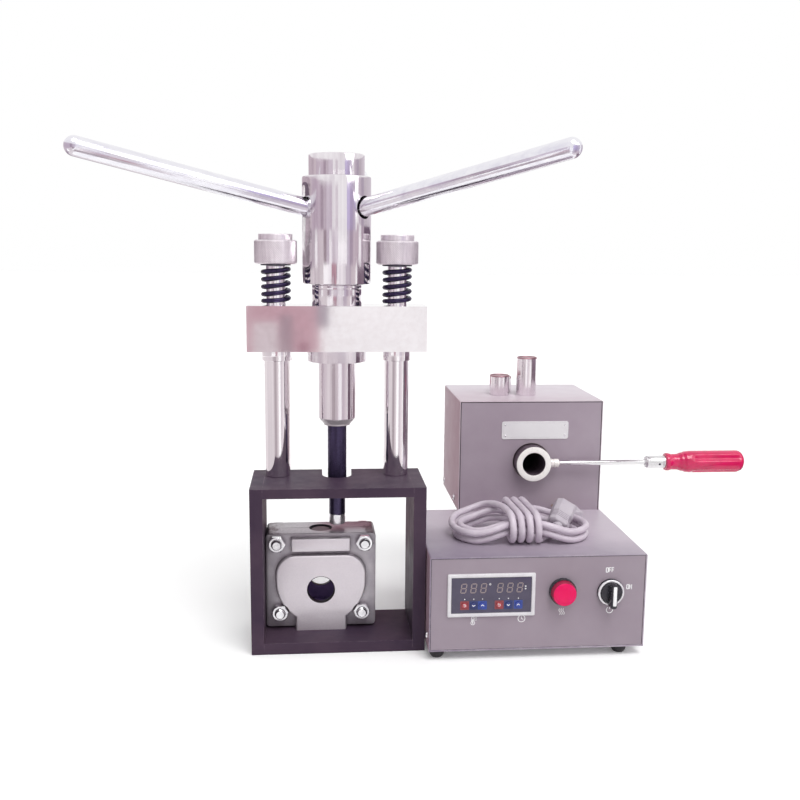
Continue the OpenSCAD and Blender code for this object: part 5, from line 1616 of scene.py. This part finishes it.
def make_grip():
    """Clear-coated grip with a waist, four flutes and a domed end."""
    sides = 144
    rows = [0, 0.3, 0.7, 1.2, 2, 3, 4] + [4 + 0.8 * k for k in range(1, 103)]
    rows += [GRIP_L - GRIP_DOME + GRIP_DOME * math.sin(math.radians(6 * k)) for k in range(16)]
    rows = sorted(set(round(r, 3) for r in rows if r <= GRIP_L))
    rings = [ring(HANDLE_R + 0.1, 31, sides), ring(HANDLE_R + 0.1, 0, sides)]
    for length in rows:
        r = grip_radius(length)
        along = ease((length - FLUTE_FROM) / 9) * (1 - ease((length - FLUTE_TO + 4) / 6))
        row = []
        for k in range(sides):
            a = 360 * k / sides
            nearest = min(abs((a - f + 180) % 360 - 180) for f in FLUTE_ANGLES)
            cut = along * FLUTE_DEPTH * (math.cos(math.pi * clamp(nearest / FLUTE_WIDTH)) + 1) / 2
            row.append((*polar(r - cut, math.radians(a)), length))
        rings.append(row)
    place = at(HANDLE_AT[0] + HANDLE_L, HANDLE_AT[1], HANDLE_AT[2], ALONG_X)
    Shape().loft(rings, place=place).piece("fluted_grip", "red_plastic", "sleeve_tool", "red_plastic",
        ("sleeve_grip",), 50)


def make_cartridges():
    """Aluminium cups with a drawn wall, a rolled rim and a stained cap of resin."""
    for node, body in (("cartridge_tall", "tall_cartridge"), ("cartridge_front", "front_cartridge"),
            ("cartridge_rear", "rear_cartridge")):
        r, foot, top = round_part(node)
        h = top - foot
        place = at(*middle(node), foot)
        cup = Shape().lathe([(0, 0.4), (r - 2.2, 0.4, 0.2), (r - 1.8, 0, 0.2), (r, 0, 0.9), (r, h - 1.6),
            (r - 0.05, h - 1.2, 0.2), (r - 0.3, h, 0.6), (r - 1.5, h, 0.5), (r - 1.7, h - 1.3, 0.3),
            (0, h - 1.3)], place, 0.3, 96)
        rim = foot + h - RIM_H
        cup.numbers = [int(min(cup.points[c].z for c in corners) > rim) for corners in cup.faces]
        cup.lathe([(0, h - 1.4), (r - 1.75, h - 1.4, 0), (r - 1.8, h - 0.75, 0.3), (0, h - 0.6)], place,
            0.3, 64, 1)
        cup.piece(f"{node}_cup", ["cartridge_alloy", "stained_rim"], body, "cartridge_alloy", (node,))


# Floor, light and world

WHITE = 1.0
FLOOR_SIZE = 24000
FLOOR_ALBEDO = 0.82
AMBIENT = 0.52
KEY_LIGHT = (1.60, 35, (0.15, -0.55, 1.0))
FILL_LIGHT = (0.50, 45, (0.9, -0.6, 0.5))
# Cards that only show in reflections: radius, lowest and highest height, then the azimuth from and to,
# counted from the front towards the right, and the colour
CARDS = (
    (400, 0, 258, (
        (-150, -45, (0.90, 0.84, 0.86)), (-45, -34, (0.78, 0.71, 0.74)), (-34, -13, (0.53, 0.46, 0.49)),
        (-13, -3, (0.74, 0.67, 0.70)), (-3, 6, (0.84, 0.77, 0.80)), (27, 45, (0.75, 0.68, 0.73)),
        (45, 62, (0.87, 0.80, 0.83)))),
    (620, 0, 258, ((68, 114, (0.20, 0.14, 0.18)),)),
    (400, 262, 350, (
        (-150, -45, (0.84, 0.78, 0.80)), (-18, -2.3, (0.62, 0.39, 0.45)), (-2.3, 27, (1.02, 0.99, 1.01)),
        (27, 45, (0.70, 0.63, 0.70)), (45, 62, (0.84, 0.76, 0.79)), (68, 114, (0.30, 0.22, 0.28)))),
    (396, 262, 312, ((-15.9, -10.8, (0.76, 0.66, 0.70)),)),
    (394, 262, 322, ((-10.4, -7.9, (0.42, 0.31, 0.36)),)),
    (394, 262, 282, ((-6.6, -4.6, (0.40, 0.20, 0.26)),)),
    (394, 304, 350, ((-2.9, -0.5, (0.42, 0.36, 0.42)),)),
    (400, 350, 440, (
        (-157, -106, (0.22, 0.17, 0.22)), (-106, -90, (0.38, 0.30, 0.38)), (-90, -76, (0.62, 0.55, 0.60)),
        (-66, -44, (0.80, 0.72, 0.76)), (-44, -34, (0.42, 0.34, 0.38)), (-34, -25, (0.70, 0.62, 0.70)),
        (-16, 3, (0.82, 0.76, 0.82)), (31, 40, (0.72, 0.65, 0.76)), (40, 51, (0.56, 0.47, 0.56)),
        (51, 61, (0.76, 0.66, 0.72)), (61, 73, (0.64, 0.54, 0.60)), (84, 98, (0.60, 0.50, 0.58)),
        (98, 150, (0.20, 0.14, 0.20)))),
    (400, 440, 566, (
        (-165, -106, (0.64, 0.54, 0.60)), (-106, -90, (0.78, 0.69, 0.73)), (-90, -54, (0.66, 0.56, 0.64)),
        (-54, -44, (0.48, 0.39, 0.46)), (-44, -34, (0.66, 0.57, 0.64)), (-34, -16, (0.78, 0.70, 0.78)),
        (-6, 3, (0.80, 0.74, 0.79)), (31, 41, (0.68, 0.60, 0.86)), (41, 51, (0.58, 0.50, 0.70)),
        (51, 61, (0.68, 0.61, 0.74)), (73, 84, (0.74, 0.66, 0.74)), (84, 98, (0.56, 0.49, 0.58)),
        (98, 114, (0.68, 0.62, 0.67)), (114, 160, (0.78, 0.72, 0.78)))))
REAR_CARD = (-20, 108, 300, 260, (0.42, 0.20, 0.26))


def make_floor():
    """Pale floor that reads as white, but for the object's shadow."""
    f = Finish("floor", specular_ior_level=0.0)
    paths = f.new("ShaderNodeLightPath").outputs
    seen = f.math("MAXIMUM", f.math("MAXIMUM", paths["Is Camera Ray"], paths["Is Glossy Ray"]),
        paths["Is Transmission Ray"])
    cloud = f.spread(f.noise(0.002, 2), 0.0, 1.0)
    pale = f.mix(cloud, (FLOOR_ALBEDO,) * 3, (FLOOR_ALBEDO - 0.01,) * 3)
    f.set("Base Color", f.mix(seen, pale, (WHITE,) * 3))
    f.set("Emission Color", (WHITE,) * 3)
    f.set("Emission Strength", f.math("MULTIPLY", seen, 0.12))
    f.set("Roughness", f.spread(f.noise(0.02, 2), 0.85, 0.95))
    floor = Shape().slab(rounded_rect(FLOOR_SIZE, FLOOR_SIZE, 400), -2, -0.3).build("floor")
    floor.data.materials.append(f.material)


def make_world():
    """White to the eye and in reflections, a plain even light on everything else."""
    world = bpy.data.worlds.new("studio")
    SCENE.world = world
    world.use_nodes = True
    tree = world.node_tree
    back = tree.nodes["Background"]
    paths = tree.nodes.new("ShaderNodeLightPath").outputs
    seen = paths["Is Camera Ray"]
    for name in ("Is Glossy Ray", "Is Transmission Ray"):
        most = tree.nodes.new("ShaderNodeMath")
        most.operation = "MAXIMUM"
        tree.links.new(seen, most.inputs[0])
        tree.links.new(paths[name], most.inputs[1])
        seen = most.outputs[0]
    level = tree.nodes.new("ShaderNodeMapRange")
    level.inputs["To Min"].default_value = AMBIENT
    level.inputs["To Max"].default_value = WHITE
    tree.links.new(seen, level.inputs["Value"])
    tree.links.new(level.outputs["Result"], back.inputs["Strength"])
    back.inputs["Color"].default_value = (1, 1, 1, 1)


def make_lights():
    for name, (strength, angle, way) in (("key", KEY_LIGHT), ("fill", FILL_LIGHT)):
        data = bpy.data.lights.new(name, "SUN")
        data.energy = strength
        data.angle = math.radians(angle)
        lamp = bpy.data.objects.new(name, data)
        lamp.rotation_euler = Vector(way).to_track_quat("Z", "Y").to_euler()
        SCENE.collection.objects.link(lamp)


def make_cards():
    for radius, low, high, bands in CARDS:
        for start, end, color in bands:
            steps = max(2, round((end - start) / 6))
            turns = [math.radians(start + (end - start) * k / steps) for k in range(steps + 1)]
            line = [(radius * math.sin(a), -radius * math.cos(a)) for a in turns]
            card = Shape().stroke(line, 2, low, high)
            show_in_reflections(card.build("card"), color)
    left, right, y, top, color = REAR_CARD
    rear = Shape().slab([(left, y), (right, y), (right, y + 2), (left, y + 2)], 0, top)
    show_in_reflections(rear.build("rear_card"), color)


def show_in_reflections(card, color):
    f = Finish(card.name, specular_ior_level=0.0)
    f.set("Base Color", (0.0, 0.0, 0.0))
    tone = f.spread(f.noise(0.004, 3), 0.85, 1.0)
    f.set("Emission Color", f.mix(tone, (0.0, 0.0, 0.0), color))
    f.set("Emission Strength", WHITE)
    card.data.materials.append(f.material)
    card.visible_camera = False
    card.visible_diffuse = False
    card.visible_shadow = False
    card.visible_transmission = False


make_camera()
FINISHES = make_finishes()
make_cord()
for make in (make_frame, make_pillars, make_springs, make_nuts, make_beam, make_ram, make_hub, make_flask,
        make_box, make_display, make_keys, make_legends, make_lamp, make_selector, make_sleeve,
        make_handle, make_grip, make_cartridges, make_floor, make_world, make_lights, make_cards):
    make()
SCENE.view_settings.view_transform = "Standard"
